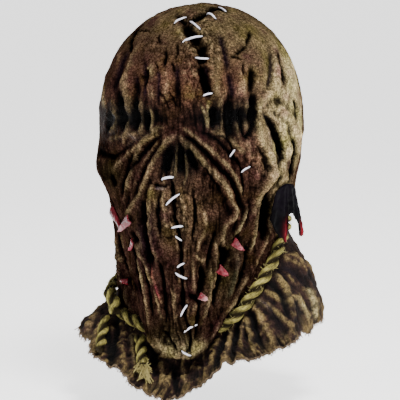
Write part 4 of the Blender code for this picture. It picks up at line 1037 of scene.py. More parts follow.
def wet_latex(name, roughness, shine):
    """Thin torn latex, poured and painted wet red: glossy, with a gradient from raw root to pale tip."""
    material, tree, shader = new_material(name)
    place = add(tree, "ShaderNodeTexCoord").outputs["Object"]
    paint = add(tree, "ShaderNodeAttribute", attribute_name="paint").outputs["Color"]
    # Veins and blotches about 3 mm across.
    blotch = add(tree, "ShaderNodeTexNoise", {"Vector": place, "Scale": 330.0, "Detail": 4.0})
    level = add(tree, "ShaderNodeMapRange", {"Value": blotch.outputs["Fac"], "From Min": 0.3, "From Max": 0.7,
                                             "To Min": 0.55, "To Max": 1.3}).outputs["Result"]
    colour = add(tree, "ShaderNodeVectorMath", {0: paint, "Scale": level},
                 operation="SCALE").outputs["Vector"]
    bump = add(tree, "ShaderNodeBump", {"Height": blotch.outputs["Fac"], "Strength": 0.5, "Distance": 0.001})
    tree.links.new(colour, shader.inputs["Base Color"])
    tree.links.new(bump.outputs["Normal"], shader.inputs["Normal"])
    shader.inputs["Roughness"].default_value = roughness
    shader.inputs["Specular IOR Level"].default_value = shine
    return material


def woven_cloth(settings):
    """Loosely woven cotton gauze, stiffened with size and dyed: a coarse plain weave, dull, with
    paint caught on the raised folds."""
    material, tree, shader = new_material("sized_cotton_gauze")
    place = add(tree, "ShaderNodeTexCoord").outputs["Object"]
    weave = add(tree, "ShaderNodeUVMap", uv_map="cloth").outputs["UV"]
    paint = add(tree, "ShaderNodeAttribute", attribute_name="paint").outputs["Color"]
    # The UV map is in metres; the threads are drawn coarser than real gauze so that they show.
    turns = 2.0 * math.pi / settings.thread
    apart = add(tree, "ShaderNodeSeparateXYZ", {0: weave})
    warp = add(tree, "ShaderNodeMath", {0: apart.outputs["X"], 1: turns}, operation="MULTIPLY").outputs[0]
    weft = add(tree, "ShaderNodeMath", {0: apart.outputs["Y"], 1: turns}, operation="MULTIPLY").outputs[0]
    over = add(tree, "ShaderNodeMath", {0: warp}, operation="SINE").outputs[0]
    under = add(tree, "ShaderNodeMath", {0: weft}, operation="SINE").outputs[0]
    threads = add(tree, "ShaderNodeMath", {0: over, 1: under}, operation="MULTIPLY").outputs[0]
    broad = add(tree, "ShaderNodeTexNoise", {"Vector": place, "Scale": 90.0, "Detail": 6.0, "Roughness": 0.7})
    fine = add(tree, "ShaderNodeTexNoise", {"Vector": place, "Scale": 520.0, "Detail": 3.0})
    patchy = add(tree, "ShaderNodeMapRange", {"Value": broad.outputs["Fac"], "From Min": 0.3, "From Max": 0.7,
                                              "To Min": 0.5, "To Max": 1.5}).outputs["Result"]
    speck = add(tree, "ShaderNodeMapRange", {"Value": fine.outputs["Fac"], "From Min": 0.3, "From Max": 0.7,
                                             "To Min": 0.3, "To Max": 1.65}).outputs["Result"]
    woven = add(tree, "ShaderNodeMapRange", {"Value": threads, "From Min": -1.0, "From Max": 1.0,
                                             "To Min": 0.78, "To Max": 1.15}).outputs["Result"]
    level = add(tree, "ShaderNodeMath", {0: patchy, 1: speck}, operation="MULTIPLY").outputs[0]
    level = add(tree, "ShaderNodeMath", {0: level, 1: woven}, operation="MULTIPLY").outputs[0]
    colour = add(tree, "ShaderNodeVectorMath", {0: paint, "Scale": level},
                 operation="SCALE").outputs["Vector"]
    thread_bump = add(tree, "ShaderNodeBump", {"Height": threads, "Strength": 0.55, "Distance": 0.0005})
    crust = add(tree, "ShaderNodeBump", {"Height": broad.outputs["Fac"], "Strength": 0.8, "Distance": 0.004,
                                         "Normal": thread_bump.outputs["Normal"]})
    tree.links.new(colour, shader.inputs["Base Color"])
    tree.links.new(crust.outputs["Normal"], shader.inputs["Normal"])
    shader.inputs["Roughness"].default_value = 0.8
    shader.inputs["Specular IOR Level"].default_value = 0.15
    return material


def jute_fibre(settings):
    """Two-strand jute rope, spun and laid: long fine fibres that follow each strand, dull and hairy,
    with stains, and painted darker where the strands meet as painted shade in the grooves."""
    material, tree, shader = new_material("laid_jute")
    along = add(tree, "ShaderNodeAttribute", attribute_name="along").outputs["Fac"]
    side = add(tree, "ShaderNodeAttribute", attribute_name="side").outputs["Fac"]
    rise = add(tree, "ShaderNodeAttribute", attribute_name="rise").outputs["Fac"]
    # Fibres run with the strand: noise is about 9 times longer along it than round it.
    place = add(tree, "ShaderNodeCombineXYZ", {"X": along, "Y": side, "Z": rise}).outputs["Vector"]
    fibres = add(tree, "ShaderNodeTexNoise", {"Vector": place, "Scale": 7.0, "Detail": 5.0, "Roughness": 0.6})
    object_place = add(tree, "ShaderNodeTexCoord").outputs["Object"]
    stain = add(tree, "ShaderNodeTexNoise", {"Vector": object_place, "Scale": 120.0, "Detail": 4.0})
    level = add(tree, "ShaderNodeMapRange", {
        "Value": fibres.outputs["Fac"], "From Min": 0.33, "From Max": 0.6,
        "To Min": 0.0, "To Max": 1.0}).outputs["Result"]
    blot = add(tree, "ShaderNodeMapRange", {"Value": stain.outputs["Fac"], "From Min": 0.36, "From Max": 0.56,
                                            "To Min": 0.2, "To Max": 1.0}).outputs["Result"]
    core = add(tree, "ShaderNodeAttribute", attribute_name="core").outputs["Fac"]
    # A strand's crest is half of the rope's diameter from its middle, and it is painted darker towards
    # the groove: painted shade between the strands.
    groove_shade_factor = add(tree, "ShaderNodeMapRange", {"Value": core, "From Min": 0.35, "From Max": 0.50},
                interpolation_type="SMOOTHSTEP").outputs["Result"]
    bright = add(tree, "ShaderNodeMath", {0: level, 1: blot}, operation="MULTIPLY").outputs[0]
    bright = add(tree, "ShaderNodeMath", {0: bright, 1: groove_shade_factor}, operation="MULTIPLY").outputs[0]
    colour = add(tree, "ShaderNodeMix", {
        0: bright, MIX_A: (*settings.dark, 1.0), MIX_B: (*settings.light, 1.0)},
                 data_type="RGBA").outputs[MIX_OUT]
    bump = add(tree, "ShaderNodeBump", {"Height": fibres.outputs["Fac"], "Strength": 0.9, "Distance": 0.0009})
    tree.links.new(colour, shader.inputs["Base Color"])
    tree.links.new(bump.outputs["Normal"], shader.inputs["Normal"])
    shader.inputs["Roughness"].default_value = 0.75
    shader.inputs["Specular IOR Level"].default_value = 0.1
    return material


def thread_material(name, colour, roughness):
    """Waxed twisted thread or a bare jute fibre: one colour broken by the twist, slightly glossy."""
    material, tree, shader = new_material(name)
    place = add(tree, "ShaderNodeTexCoord").outputs["Object"]
    # Twist of the thread, about 0.8 mm apart.
    twist = add(tree, "ShaderNodeTexNoise", {"Vector": place, "Scale": 1200.0, "Detail": 2.0})
    level = add(tree, "ShaderNodeMapRange", {"Value": twist.outputs["Fac"], "From Min": 0.3, "From Max": 0.7,
                                             "To Min": 0.72, "To Max": 1.12}).outputs["Result"]
    shade = add(tree, "ShaderNodeCombineXYZ", {"X": colour[0], "Y": colour[1], "Z": colour[2]}).outputs[0]
    final = add(tree, "ShaderNodeVectorMath", {0: shade, "Scale": level}, operation="SCALE").outputs["Vector"]
    bump = add(tree, "ShaderNodeBump", {"Height": twist.outputs["Fac"], "Strength": 0.4, "Distance": 0.0004})
    tree.links.new(final, shader.inputs["Base Color"])
    tree.links.new(bump.outputs["Normal"], shader.inputs["Normal"])
    shader.inputs["Roughness"].default_value = roughness
    return material


def node_group(name, sockets):
    """An empty geometry tree with a mesh in and out and named number inputs."""
    tree = bpy.data.node_groups.new(name, "GeometryNodeTree")
    tree.interface.new_socket("Geometry", in_out="INPUT", socket_type="NodeSocketGeometry")
    for label, kind in sockets:
        tree.interface.new_socket(label, in_out="INPUT", socket_type=kind)
    tree.interface.new_socket("Geometry", in_out="OUTPUT", socket_type="NodeSocketGeometry")
    return tree, add(tree, "NodeGroupInput").outputs, add(tree, "NodeGroupOutput")


def grown(piece, tree, values):
    """Run a geometry tree on a guide with named values, and keep the result as a plain mesh."""
    modifier = piece.modifiers.new("grow", "NODES")
    modifier.node_group = tree
    for item in tree.interface.items_tree:
        if item.item_type == "SOCKET" and item.in_out == "INPUT" and item.name in values:
            modifier[item.identifier] = values[item.name]
    shape = piece.evaluated_get(bpy.context.evaluated_depsgraph_get())
    mesh = bpy.data.meshes.new_from_object(shape)
    piece.modifiers.clear()
    old = piece.data
    piece.data = mesh
    mesh.name = piece.name
    bpy.data.meshes.remove(old)
    mesh.shade_smooth()
    return piece


def guide(name, lines, closed=False, vectors=None, numbers=None):
    """A mesh of bare edges that a geometry tree follows, with named point attributes."""
    vertices = []
    edges = []
    for line in lines:
        start = len(vertices)
        vertices.extend(tuple(point) for point in line)
        edges.extend((start + step, start + step + 1) for step in range(len(line) - 1))
        if closed:
            edges.append((len(vertices) - 1, start))
    mesh = bpy.data.meshes.new(name)
    mesh.from_pydata(vertices, edges, [])
    for key, values in (vectors or {}).items():
        layer = mesh.attributes.new(key, "FLOAT_VECTOR", "POINT")
        layer.data.foreach_set("vector", np.asarray(values, float).ravel())
    for key, values in (numbers or {}).items():
        layer = mesh.attributes.new(key, "FLOAT", "POINT")
        layer.data.foreach_set("value", np.asarray(values, float).ravel())
    piece = bpy.data.objects.new(name, mesh)
    bpy.context.scene.collection.objects.link(piece)
    return piece


def thread_tree(material):
    """Sweeps a round thread along each guide line, its girth from the guide."""
    sockets = (("Diameter", "NodeSocketFloat"), ("Sides", "NodeSocketInt"))
    tree, given, out = node_group("swept_thread", sockets)
    girth = add(tree, "GeometryNodeInputNamedAttribute", {"Name": "girth"}, data_type="FLOAT").outputs[0]
    curve = add(tree, "GeometryNodeMeshToCurve", {"Mesh": given["Geometry"]}).outputs["Curve"]
    curve = add(tree, "GeometryNodeSetCurveRadius", {"Curve": curve, "Radius": girth})
    half = add(tree, "ShaderNodeMath", {0: given["Diameter"], 1: 0.5}, operation="MULTIPLY").outputs[0]
    ring = add(tree, "GeometryNodeCurvePrimitiveCircle", {"Resolution": given["Sides"], "Radius": half})
    swept = add(tree, "GeometryNodeCurveToMesh", {
        "Curve": curve.outputs["Curve"], "Profile Curve": ring.outputs["Curve"], "Fill Caps": True})
    if "Scale" in swept.inputs:
        tree.links.new(girth, swept.inputs["Scale"])
    real = add(tree, "GeometryNodeRealizeInstances", {"Geometry": swept.outputs["Mesh"]})
    done = add(tree, "GeometryNodeSetMaterial", {"Geometry": real.outputs["Geometry"], "Material": material})
    tree.links.new(done.outputs["Geometry"], out.inputs["Geometry"])
    return tree


def rope_tree(material):
    """Lays two fat strands round each guide line, and notes how near the middle each place is."""
    sockets = (("Diameter", "NodeSocketFloat"), ("Lays", "NodeSocketFloat"), ("Steps", "NodeSocketInt"))
    tree, given, out = node_group("laid_rope", sockets)
    curve = add(tree, "GeometryNodeMeshToCurve", {"Mesh": given["Geometry"]}).outputs["Curve"]
    curve = add(tree, "GeometryNodeResampleCurve", {"Curve": curve, "Count": given["Steps"]}).outputs["Curve"]
    spline = add(tree, "GeometryNodeSplineParameter").outputs
    tangent = add(tree, "GeometryNodeInputTangent").outputs[0]
    normal = add(tree, "GeometryNodeInputNormal").outputs[0]
    aside = add(tree, "ShaderNodeVectorMath", {0: tangent, 1: normal},
                operation="CROSS_PRODUCT").outputs["Vector"]
    whole = add(tree, "ShaderNodeMath", {0: given["Lays"], 1: 2.0 * math.pi}, operation="MULTIPLY").outputs[0]
    girth = add(tree, "GeometryNodeInputNamedAttribute", {"Name": "girth"}, data_type="FLOAT").outputs[0]
    # Each strand is 0.57 of the rope across and lies 0.225 of it from the middle.
    lay = add(tree, "ShaderNodeMath", {0: given["Diameter"], 1: 0.225}, operation="MULTIPLY").outputs[0]
    lay = add(tree, "ShaderNodeMath", {0: lay, 1: girth}, operation="MULTIPLY").outputs[0]
    half = add(tree, "ShaderNodeMath", {0: given["Diameter"], 1: 0.285}, operation="MULTIPLY").outputs[0]
    ring = add(tree, "GeometryNodeCurvePrimitiveCircle", {"Resolution": 10, "Radius": half}).outputs["Curve"]
    number = add(tree, "GeometryNodeSplineParameter").outputs["Index"]
    ring_turn = add(tree, "ShaderNodeMath", {0: number, 1: 2.0 * math.pi / 10}, operation="MULTIPLY")
    for label, wave in (("side", "COSINE"), ("rise", "SINE")):
        value = add(tree, "ShaderNodeMath", {0: ring_turn.outputs[0]}, operation=wave).outputs[0]
        ring = add(tree, "GeometryNodeStoreNamedAttribute", {"Geometry": ring, "Name": label, "Value": value},
                   data_type="FLOAT", domain="POINT").outputs["Geometry"]
    join = add(tree, "GeometryNodeJoinGeometry")
    for strand in range(2):
        turn = add(tree, "ShaderNodeMath", {0: spline["Factor"], 1: whole, 2: strand * math.pi},
                   operation="MULTIPLY_ADD").outputs[0]
        across = add(tree, "ShaderNodeMath", {0: turn}, operation="COSINE").outputs[0]
        above = add(tree, "ShaderNodeMath", {0: turn}, operation="SINE").outputs[0]
        first = add(tree, "ShaderNodeVectorMath", {0: normal, "Scale": across}, operation="SCALE")
        second = add(tree, "ShaderNodeVectorMath", {0: aside, "Scale": above}, operation="SCALE")
        both = add(tree, "ShaderNodeVectorMath", {0: first.outputs["Vector"], 1: second.outputs["Vector"]},
                   operation="ADD").outputs["Vector"]
        offset = add(tree, "ShaderNodeVectorMath", {0: both, "Scale": lay},
                     operation="SCALE").outputs["Vector"]
        moved = add(tree, "GeometryNodeSetPosition", {
            "Geometry": curve, "Offset": offset}).outputs["Geometry"]
        length = add(tree, "ShaderNodeMath", {0: spline["Length"], 1: 30.0, 2: strand * 7.0},
                     operation="MULTIPLY_ADD").outputs[0]
        moved = add(tree, "GeometryNodeStoreNamedAttribute", {
            "Geometry": moved, "Name": "along", "Value": length},
                    data_type="FLOAT", domain="POINT").outputs["Geometry"]
        moved = add(tree, "GeometryNodeSetCurveRadius", {"Curve": moved, "Radius": girth}).outputs["Curve"]
        swept = add(tree, "GeometryNodeCurveToMesh", {
            "Curve": moved, "Profile Curve": ring, "Fill Caps": True})
        if "Scale" in swept.inputs:
            tree.links.new(girth, swept.inputs["Scale"])
        tree.links.new(swept.outputs["Mesh"], join.inputs["Geometry"])
    near = add(tree, "GeometryNodeProximity", {0: given["Geometry"]},
               target_element="EDGES").outputs["Distance"]
    core = add(tree, "ShaderNodeMath", {0: near, 1: given["Diameter"]}, operation="DIVIDE").outputs[0]
    noted = add(tree, "GeometryNodeStoreNamedAttribute", {
        "Geometry": join.outputs["Geometry"], "Name": "core", "Value": core},
                data_type="FLOAT", domain="POINT")
    real = add(tree, "GeometryNodeRealizeInstances", {"Geometry": noted.outputs["Geometry"]})
    done = add(tree, "GeometryNodeSetMaterial", {"Geometry": real.outputs["Geometry"], "Material": material})
    tree.links.new(done.outputs["Geometry"], out.inputs["Geometry"])
    return tree


def fibre_tree(material):
    """Grows bent loose fibres along each guide line, which lie the way that the guide says."""
    sockets = (
        ("Spacing", "NodeSocketFloat"), ("Length", "NodeSocketFloat"), ("Thickness", "NodeSocketFloat"),
        ("Spread", "NodeSocketFloat"), ("Seed", "NodeSocketInt"),
    )
    tree, given, out = node_group("loose_fibres", sockets)
    curve = add(tree, "GeometryNodeMeshToCurve", {"Mesh": given["Geometry"]}).outputs["Curve"]
    curve = add(tree, "GeometryNodeResampleCurve", {"Curve": curve, "Length": given["Spacing"]},
                mode="LENGTH")
    bend = add(tree, "GeometryNodeCurveQuadraticBezier", {
        "Resolution": 4, "Start": (0.0, 0.0, 0.0), "Middle": (0.0, 0.0, 0.6), "End": (0.35, 0.0, 1.0)})
    thin = add(tree, "ShaderNodeMath", {0: given["Thickness"], 1: given["Length"]},
               operation="DIVIDE").outputs[0]
    ring = add(tree, "GeometryNodeCurvePrimitiveCircle", {"Resolution": 3, "Radius": thin})
    fibre = add(tree, "GeometryNodeCurveToMesh", {
        "Curve": bend.outputs["Curve"], "Profile Curve": ring.outputs["Curve"], "Fill Caps": True})
    lie = add(tree, "GeometryNodeInputNamedAttribute", {"Name": "lie"}, data_type="FLOAT_VECTOR").outputs[0]
    aim = add(tree, "FunctionNodeAlignRotationToVector", {"Vector": lie}, axis="Z")
    low = add(tree, "ShaderNodeMath", {0: given["Spread"], 1: -1.0}, operation="MULTIPLY").outputs[0]
    low = add(tree, "ShaderNodeCombineXYZ", {"X": low, "Y": low, "Z": -math.pi}).outputs[0]
    high = add(tree, "ShaderNodeCombineXYZ", {
        "X": given["Spread"], "Y": given["Spread"], "Z": math.pi}).outputs[0]
    tilt = add(tree, "FunctionNodeRandomValue", {0: low, 1: high, "Seed": given["Seed"]},
               data_type="FLOAT_VECTOR")
    turn = add(tree, "FunctionNodeRotateRotation", {"Rotation": aim.outputs[0], "Rotate By": tilt.outputs[0]})
    turn.rotation_space = "LOCAL"
    size = add(tree, "FunctionNodeRandomValue", {2: 0.35, 3: 1.25, "Seed": given["Seed"]}, data_type="FLOAT")
    size = add(tree, "ShaderNodeMath", {0: size.outputs[1], 1: given["Length"]},
               operation="MULTIPLY").outputs[0]
    many = add(tree, "GeometryNodeInstanceOnPoints", {
        "Points": curve.outputs["Curve"], "Instance": fibre.outputs["Mesh"],
        "Rotation": turn.outputs[0], "Scale": size})
    real = add(tree, "GeometryNodeRealizeInstances", {"Geometry": many.outputs["Instances"]})
    done = add(tree, "GeometryNodeSetMaterial", {"Geometry": real.outputs["Geometry"], "Material": material})
    tree.links.new(done.outputs["Geometry"], out.inputs["Geometry"])
    return tree


def made(name):
    """The shape of a piece that an earlier step made."""
    if name not in bpy.data.objects:
        raise RuntimeError(f"{name} is made before this step")
    return bpy.data.objects[name]


def ring_faces(rows, columns, start=0):
    """Quads between the rows of a closed ring of points."""
    faces = []
    for row in range(rows - 1):
        for column in range(columns):
            after = (column + 1) % columns
            first = start + row * columns
            faces.append((first + column, first + columns + column, first + columns + after, first + after))
    return faces


def skin_paint(points, facing, settings):
    """Base coat, patches, then folds: the colour and the relief of the skin, and the painted shade of its
    holes and hollows.
    """
    across, down = drawn(points)
    colour = np.ones(points.shape) * np.array(settings.base)
    for row in ZONES:
        tone = TONES[row[4]]
        share = (patch(across, down, row) * facing * tone[1])[..., None]
        colour = colour * (1.0 - share) + np.array(linear(tone[0])) * share
    relief, dark = lay_folds(points, FOLDS, facing, settings.fold_depth, colour)
    # Patches in the shade tones add painted shade too: the eye sockets, the nose hollow and the cavity behind
    # the drape.
    for row in ZONES:
        if row[4] in SHADE_TONES:
            dark = np.maximum(dark, patch(across, down, row) * facing * 0.8)
    return colour, relief, dark


class GHOUL_OT_hood(bpy.types.Operator):
    """Sculpt and paint the latex skin over the hood's main form"""
    bl_idname = "ghoul.hood"
    bl_label = "Hood"

    def execute(self, context):
        settings = context.scene.ghoul_skin
        points, angle = fine_grid(SKIN_ROWS, SKIN_COLUMNS)
        normal = grid_normals(points)
        facing = smooth((normal @ TOWARD - 0.02) / 0.25)
        colour, relief, dark = skin_paint(points, facing, settings)
        drop = (SKIN_WALL - points[..., 2]) / MASK_HEIGHT
        for centre, top, bottom, width, height in BACK_FOLDS:
            distance = off_front(angle - math.radians(centre)) * HEAD_WIDTH / 2.0
            fade = smooth((drop - top) / 0.1) * smooth((bottom - drop) / 0.1)
            relief += height * MM * fade * np.exp(-(distance / (width * MM)) ** 2)
        across, down = drawn(points)
        crumb = np.full(across.shape, 0.28)
        for row in CRUMBLED:
            crumb = np.maximum(crumb, patch(across, down, row) * row[4] * facing)
        for row in SUTURES:
            # Each puncture is sunk and painted darker, as painted shade in the pit.
            for place in ((row[0], row[1]), (row[2], row[3])):
                pit_and_shade = patch(across, down, (*place, 1.6, 1.6)) * facing
                relief -= 1.0 * MM * pit_and_shade
                colour *= (1.0 - 0.8 * pit_and_shade)[..., None]
        # Strings follow the height of the face, wandering a little sideways.
        wander = fractal(points, 0.030, 2, seed=3.0) * 0.006
        strung = np.stack((across + wander, down, np.zeros(across.shape)), -1)
        strings = 1.0 - np.abs(fractal(strung, 0.0055, 3, (1.0, 0.16, 1.0), 11.0))
        around = np.stack((angle * 0.11 + wander, down, np.zeros(across.shape)), -1)
        back_strings = 1.0 - np.abs(fractal(around, 0.0075, 3, (1.0, 0.16, 1.0), 17.0))
        strings = strings * facing + back_strings * (1.0 - facing)
        lumps = fractal(points, 0.0050, 4, seed=5.0)
        waves = fractal(points, 0.022, 3, seed=9.0)
        top = smooth((down - 0.085) / 0.035)
        relief += settings.string_height * (strings - 0.6) * (0.15 + 0.85 * top)
        relief += settings.crumb_height * lumps * crumb + 1.1 * MM * waves
        relief = np.clip(relief, -0.015, 0.0095)
        hollow = relief - blurred(relief, 5)
        broad = relief - blurred(relief, 12)
        # Painted shade and a dark wash: creases and hollows below the local level are darkened, less on the
        # crown.
        lines = 0.45 + 0.55 * top
        wash_and_shade = (smooth((0.45 * MM - hollow) / (2.2 * MM)) * 0.92 * lines)[..., None]
        colour = colour * (1.0 - wash_and_shade) + np.array(settings.shade) * wash_and_shade
        wash_and_shade = (smooth((0.6 * MM - broad) / (4.2 * MM)) * 0.85 * lines)[..., None]
        colour = colour * (1.0 - wash_and_shade) + np.array(settings.shade) * wash_and_shade
        streaks = smooth((strings - 0.45) / 0.5) * top + 0.75 * (1.0 - top)
        colour *= (0.55 + 0.6 * streaks)[..., None]
        brushed = (smooth((hollow - 0.5 * MM) / (2.0 * MM)) * (0.2 + 0.35 * streaks))[..., None]
        colour = colour * (1.0 - brushed) + np.array(settings.worn) * brushed
        grit = smooth((0.05 - fractal(points, 0.0026, 3, seed=83.0)) / 0.35) * np.clip(crumb, 0.25, 1.0)
        colour *= (1.0 - 0.75 * grit * smooth(crumb))[..., None]
        # Painted light and shade: the lower face is painted darker, and the side where the key light falls is
        # painted brighter.
        painted_lower_shade = smooth((down - 0.118) / 0.05) * (1.0 - smooth((across - 0.050) / 0.03)) * facing
        lit_side = patch(across, down, LIT_SIDE) * facing
        colour *= (1.0 - 0.15 * painted_lower_shade + 0.75 * lit_side)[..., None]
        bright = colour.mean(-1, keepdims=True) / 0.20
        colour *= np.clip(bright, 0.05, 1.0) ** 0.36
        # Painted shade: holes, slits, sockets and deep hollows are darkened where the shade-tone folds and
        # patches lie.
        colour *= (1.0 - 0.96 * dark)[..., None]
        wet = np.zeros(across.shape)
        for row in WET:
            wet = np.maximum(wet, patch(across, down, row) * facing)
        outer = points + normal * relief[..., None]
        inner_relief = lowest_near(relief, INNER_STEP) - SKIN_WALL
        inner = (points + normal * inner_relief[..., None])[::INNER_STEP, ::INNER_STEP]
        if (SKIN_ROWS - 1) % INNER_STEP:
            last = (points + normal * inner_relief[..., None])[-1:, ::INNER_STEP]
            inner = np.concatenate((inner, last))
        rows, columns = outer.shape[:2]
        inner_rows, inner_columns = inner.shape[:2]
        pole = np.array(((0.0, 0.02 * HEAD_DEPTH, SKIN_WALL + relief[0].mean()),))
        inner_pole = pole - (0.0, 0.0, 2.0 * SKIN_WALL)
        start = 1 + rows * columns
        inner_start = start + 1
        vertices = np.concatenate((pole, outer.reshape(-1, 3), inner_pole, inner.reshape(-1, 3)))
        faces = [(0, 1 + column, 1 + (column + 1) % columns) for column in range(columns)]
        faces += ring_faces(rows, columns, 1)
        faces += [
            (start, inner_start + (column + 1) % inner_columns, inner_start + column)
            for column in range(inner_columns)
        ]
        faces += [face[::-1] for face in ring_faces(inner_rows, inner_columns, inner_start)]
        hem = 1 + (rows - 1) * columns
        inner_hem = inner_start + (inner_rows - 1) * inner_columns
        for column in range(inner_columns):
            edge = [hem + (column * INNER_STEP + step) % columns for step in range(INNER_STEP, -1, -1)]
            faces.append((*edge, inner_hem + column, inner_hem + (column + 1) % inner_columns))
        count = inner_rows * inner_columns
        dark = np.tile(np.array(linear("#2a2220")), (count + 1, 1))
        paint = np.concatenate((colour[0].mean(0)[None], colour.reshape(-1, 3), dark))
        wetness = np.concatenate(((0.0,), wet.ravel(), np.zeros(count + 1)))
        latex = painted_latex(settings)
        skin = mesh_piece("skin", vertices, faces, latex, {"paint": paint, "wet": wetness})
        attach(skin, "root")
        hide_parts("hood")
        return {"FINISHED"}


def cloth_grid(tree):
    """Points of the outside of the collar, from under the rope to its ragged hem."""
    share = np.arange(CLOTH_COLUMNS) * 2.0 * math.pi / CLOTH_COLUMNS
    angle = share - FRONT_CROWDING * np.sin(share) + VIEW_TURN
    height, _, _ = rope_line(angle)
    drop, reach, ruffle = np.moveaxis(round_table(COLLAR_HEM, angle), -1, 0)
    top_z = height - ROPE_DIAMETER / 2.0 - 0.0018
    hem_z = SKIN_WALL - drop * MASK_HEIGHT
    side = np.stack((np.sin(angle), -np.cos(angle), np.zeros(len(angle))), -1)
    torn = fractal(side * 0.13, 0.010, 3, seed=21.0) * 0.0045
    torn = torn + fractal(side * 0.13, 0.045, 2, seed=2.0) * 0.004
    droop = smooth((np.cos(angle) - 0.3) / 0.5)
    grid = np.zeros((CLOTH_ROWS + 1, CLOTH_COLUMNS, 3))
    steps = np.linspace(0.0, 1.0, CLOTH_ROWS + 1)
    for column in range(CLOTH_COLUMNS):
        outward = side[column]
        hem = outward * (reach[column] * COLLAR_HALF_WIDTH, reach[column] * COLLAR_HALF_DEPTH, 0.0)
        start = neck_face(tree, outward, top_z[column]) + outward * 0.0036
        for row, step in enumerate(steps):
            flare = math.sin(step * math.pi / 2.0) * (1.0 - droop[column]) + step ** 2 * droop[column]
            point = start + (hem - start) * flare + outward * ruffle[column] * RUFFLE_HEIGHT * step
            point[2] = top_z[column] + (hem_z[column] + torn[column] - top_z[column]) * step
            if point[2] > SKIN_WALL - NECK_DROP * MASK_HEIGHT:
                neck = neck_face(tree, outward, point[2]) + outward * 0.0036
                if (point - neck) @ outward < 0.0:
                    point = neck
            grid[row, column] = point
    return grid, steps


class GHOUL_OT_collar(bpy.types.Operator):
    """Drape the ragged cloth collar under the rope"""
    bl_idname = "ghoul.collar"
    bl_label = "Collar"

    def execute(self, context):
        settings = context.scene.ghoul_cloth
        tree = tree_of(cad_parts["hood"])
        grid, steps = cloth_grid(tree)
        normal = grid_normals(grid)
        facing = smooth((normal @ TOWARD + 0.05) / 0.25)
        colour = np.ones(grid.shape) * np.array(settings.dark)
        relief, dark = lay_folds(grid, CLOTH_FOLDS, facing, 1.0, colour)
        angle = np.arctan2(grid[..., 0], -grid[..., 1])
        down = np.broadcast_to(steps[:, None], angle.shape)
        radial = np.stack((np.sin(angle) * 0.13, -np.cos(angle) * 0.13, down * 0.012), -1)
        pleats = fractal(radial, 0.016, 3, seed=31.0)
        gathers = fractal(radial, 0.006, 3, (1.0, 1.0, 0.6), 37.0)
        fringe = 1.0 - np.abs(fractal(radial, 0.0026, 2, (1.0, 1.0, 0.3), 43.0)) * 2.0
        fringe_end = smooth((down - 0.72) / 0.25)
        crust = fractal(grid, 0.006, 4, seed=41.0)
        bunched = fractal(grid, 0.016, 3, (1.0, 1.0, 0.35), 47.0)
        loose = smooth(down / 0.25)
        relief += (4.0 * MM * pleats * (1.0 - 0.4 * facing) + 1.6 * MM * gathers) * loose
        rough = (1.6 * MM * crust + 2.4 * MM * bunched) * (0.3 + 0.7 * loose)
        relief += rough + 0.9 * MM * fringe * fringe_end
        relief = np.clip(relief, -0.0050, 0.0085) * (0.25 + 0.75 * loose)
        hollow = relief - blurred(relief, 6)
        worn = (smooth((hollow - 0.4 * MM) / (1.8 * MM)) * 0.75 * smooth((crust + 0.35) / 0.5))[..., None]
        colour = colour * (1.0 - worn) + np.array(settings.worn) * worn
        # Painted shade and a dark wash in the hollows of the collar.
        wash_and_shade = (smooth((0.3 * MM - hollow) / (2.0 * MM)) * 0.85)[..., None]
        colour = colour * (1.0 - wash_and_shade) + np.array(linear("#0a0506")) * wash_and_shade
        tips = (smooth(fringe) * fringe_end * smooth((pleats + 0.35) / 0.5) * 0.6)[..., None]
        colour = colour * (1.0 - tips) + np.array(settings.worn) * tips
        # Painted shade: the gaps between the collar's folds are darkened.
        colour *= (1.0 - 0.92 * dark)[..., None]
        colour *= (0.5 + 0.5 * smooth((crust + 0.45) / 0.55))[..., None]
        outer = grid + normal * relief[..., None]
        inner = outer - grid_normals(outer) * settings.wall
        rows, columns = outer.shape[:2]
        count = rows * columns
        vertices = np.concatenate((outer.reshape(-1, 3), inner.reshape(-1, 3)))
        faces = ring_faces(rows, columns)
        faces += [face[::-1] for face in ring_faces(rows, columns, count)]
        for row in (0, rows - 1):
            for column in range(columns):
                first, after = row * columns + column, row * columns + (column + 1) % columns
                edge = (first, after, count + after, count + first)
                faces.append(edge if row == 0 else edge[::-1])
        # The inner face is painted half as bright: painted shade inside the collar.
        paint = np.concatenate((colour.reshape(-1, 3), colour.reshape(-1, 3) * 0.5))
        cloth = mesh_piece("cloth_collar", vertices, faces, woven_cloth(settings), {"paint": paint})
        lay_uv(cloth, rows, columns)
        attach(cloth, "root")
        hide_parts("collar")
        return {"FINISHED"}


def lay_uv(piece, rows, columns):
    """A UV map in metres, round the collar and down it."""
    mesh = piece.data
    count = rows * columns
    spots = np.array([vertex.co[:] for vertex in mesh.vertices]).reshape(2, rows, columns, 3)[0]
    lowered = np.linalg.norm(np.diff(spots, axis=0), axis=-1).mean(1)
    lowered = np.concatenate(((0.0,), np.cumsum(lowered)))
    middle = spots[rows // 2]
    gone = np.linalg.norm(np.roll(middle, -1, axis=0) - middle, axis=-1)
    gone = np.concatenate(((0.0,), np.cumsum(gone)))
    layer = mesh.uv_layers.new(name="cloth")
    values = np.zeros((len(mesh.loops), 2))
    for face in mesh.polygons:
        spots = [index % count for index in face.vertices]
        wraps = {spot % columns for spot in spots} == {0, columns - 1}
        for loop, spot in zip(face.loop_indices, spots):
            column = spot % columns
            if wraps and column == 0:
                column = columns
            values[loop] = (gone[column], lowered[spot // columns])
    layer.data.foreach_set("uv", values.ravel())


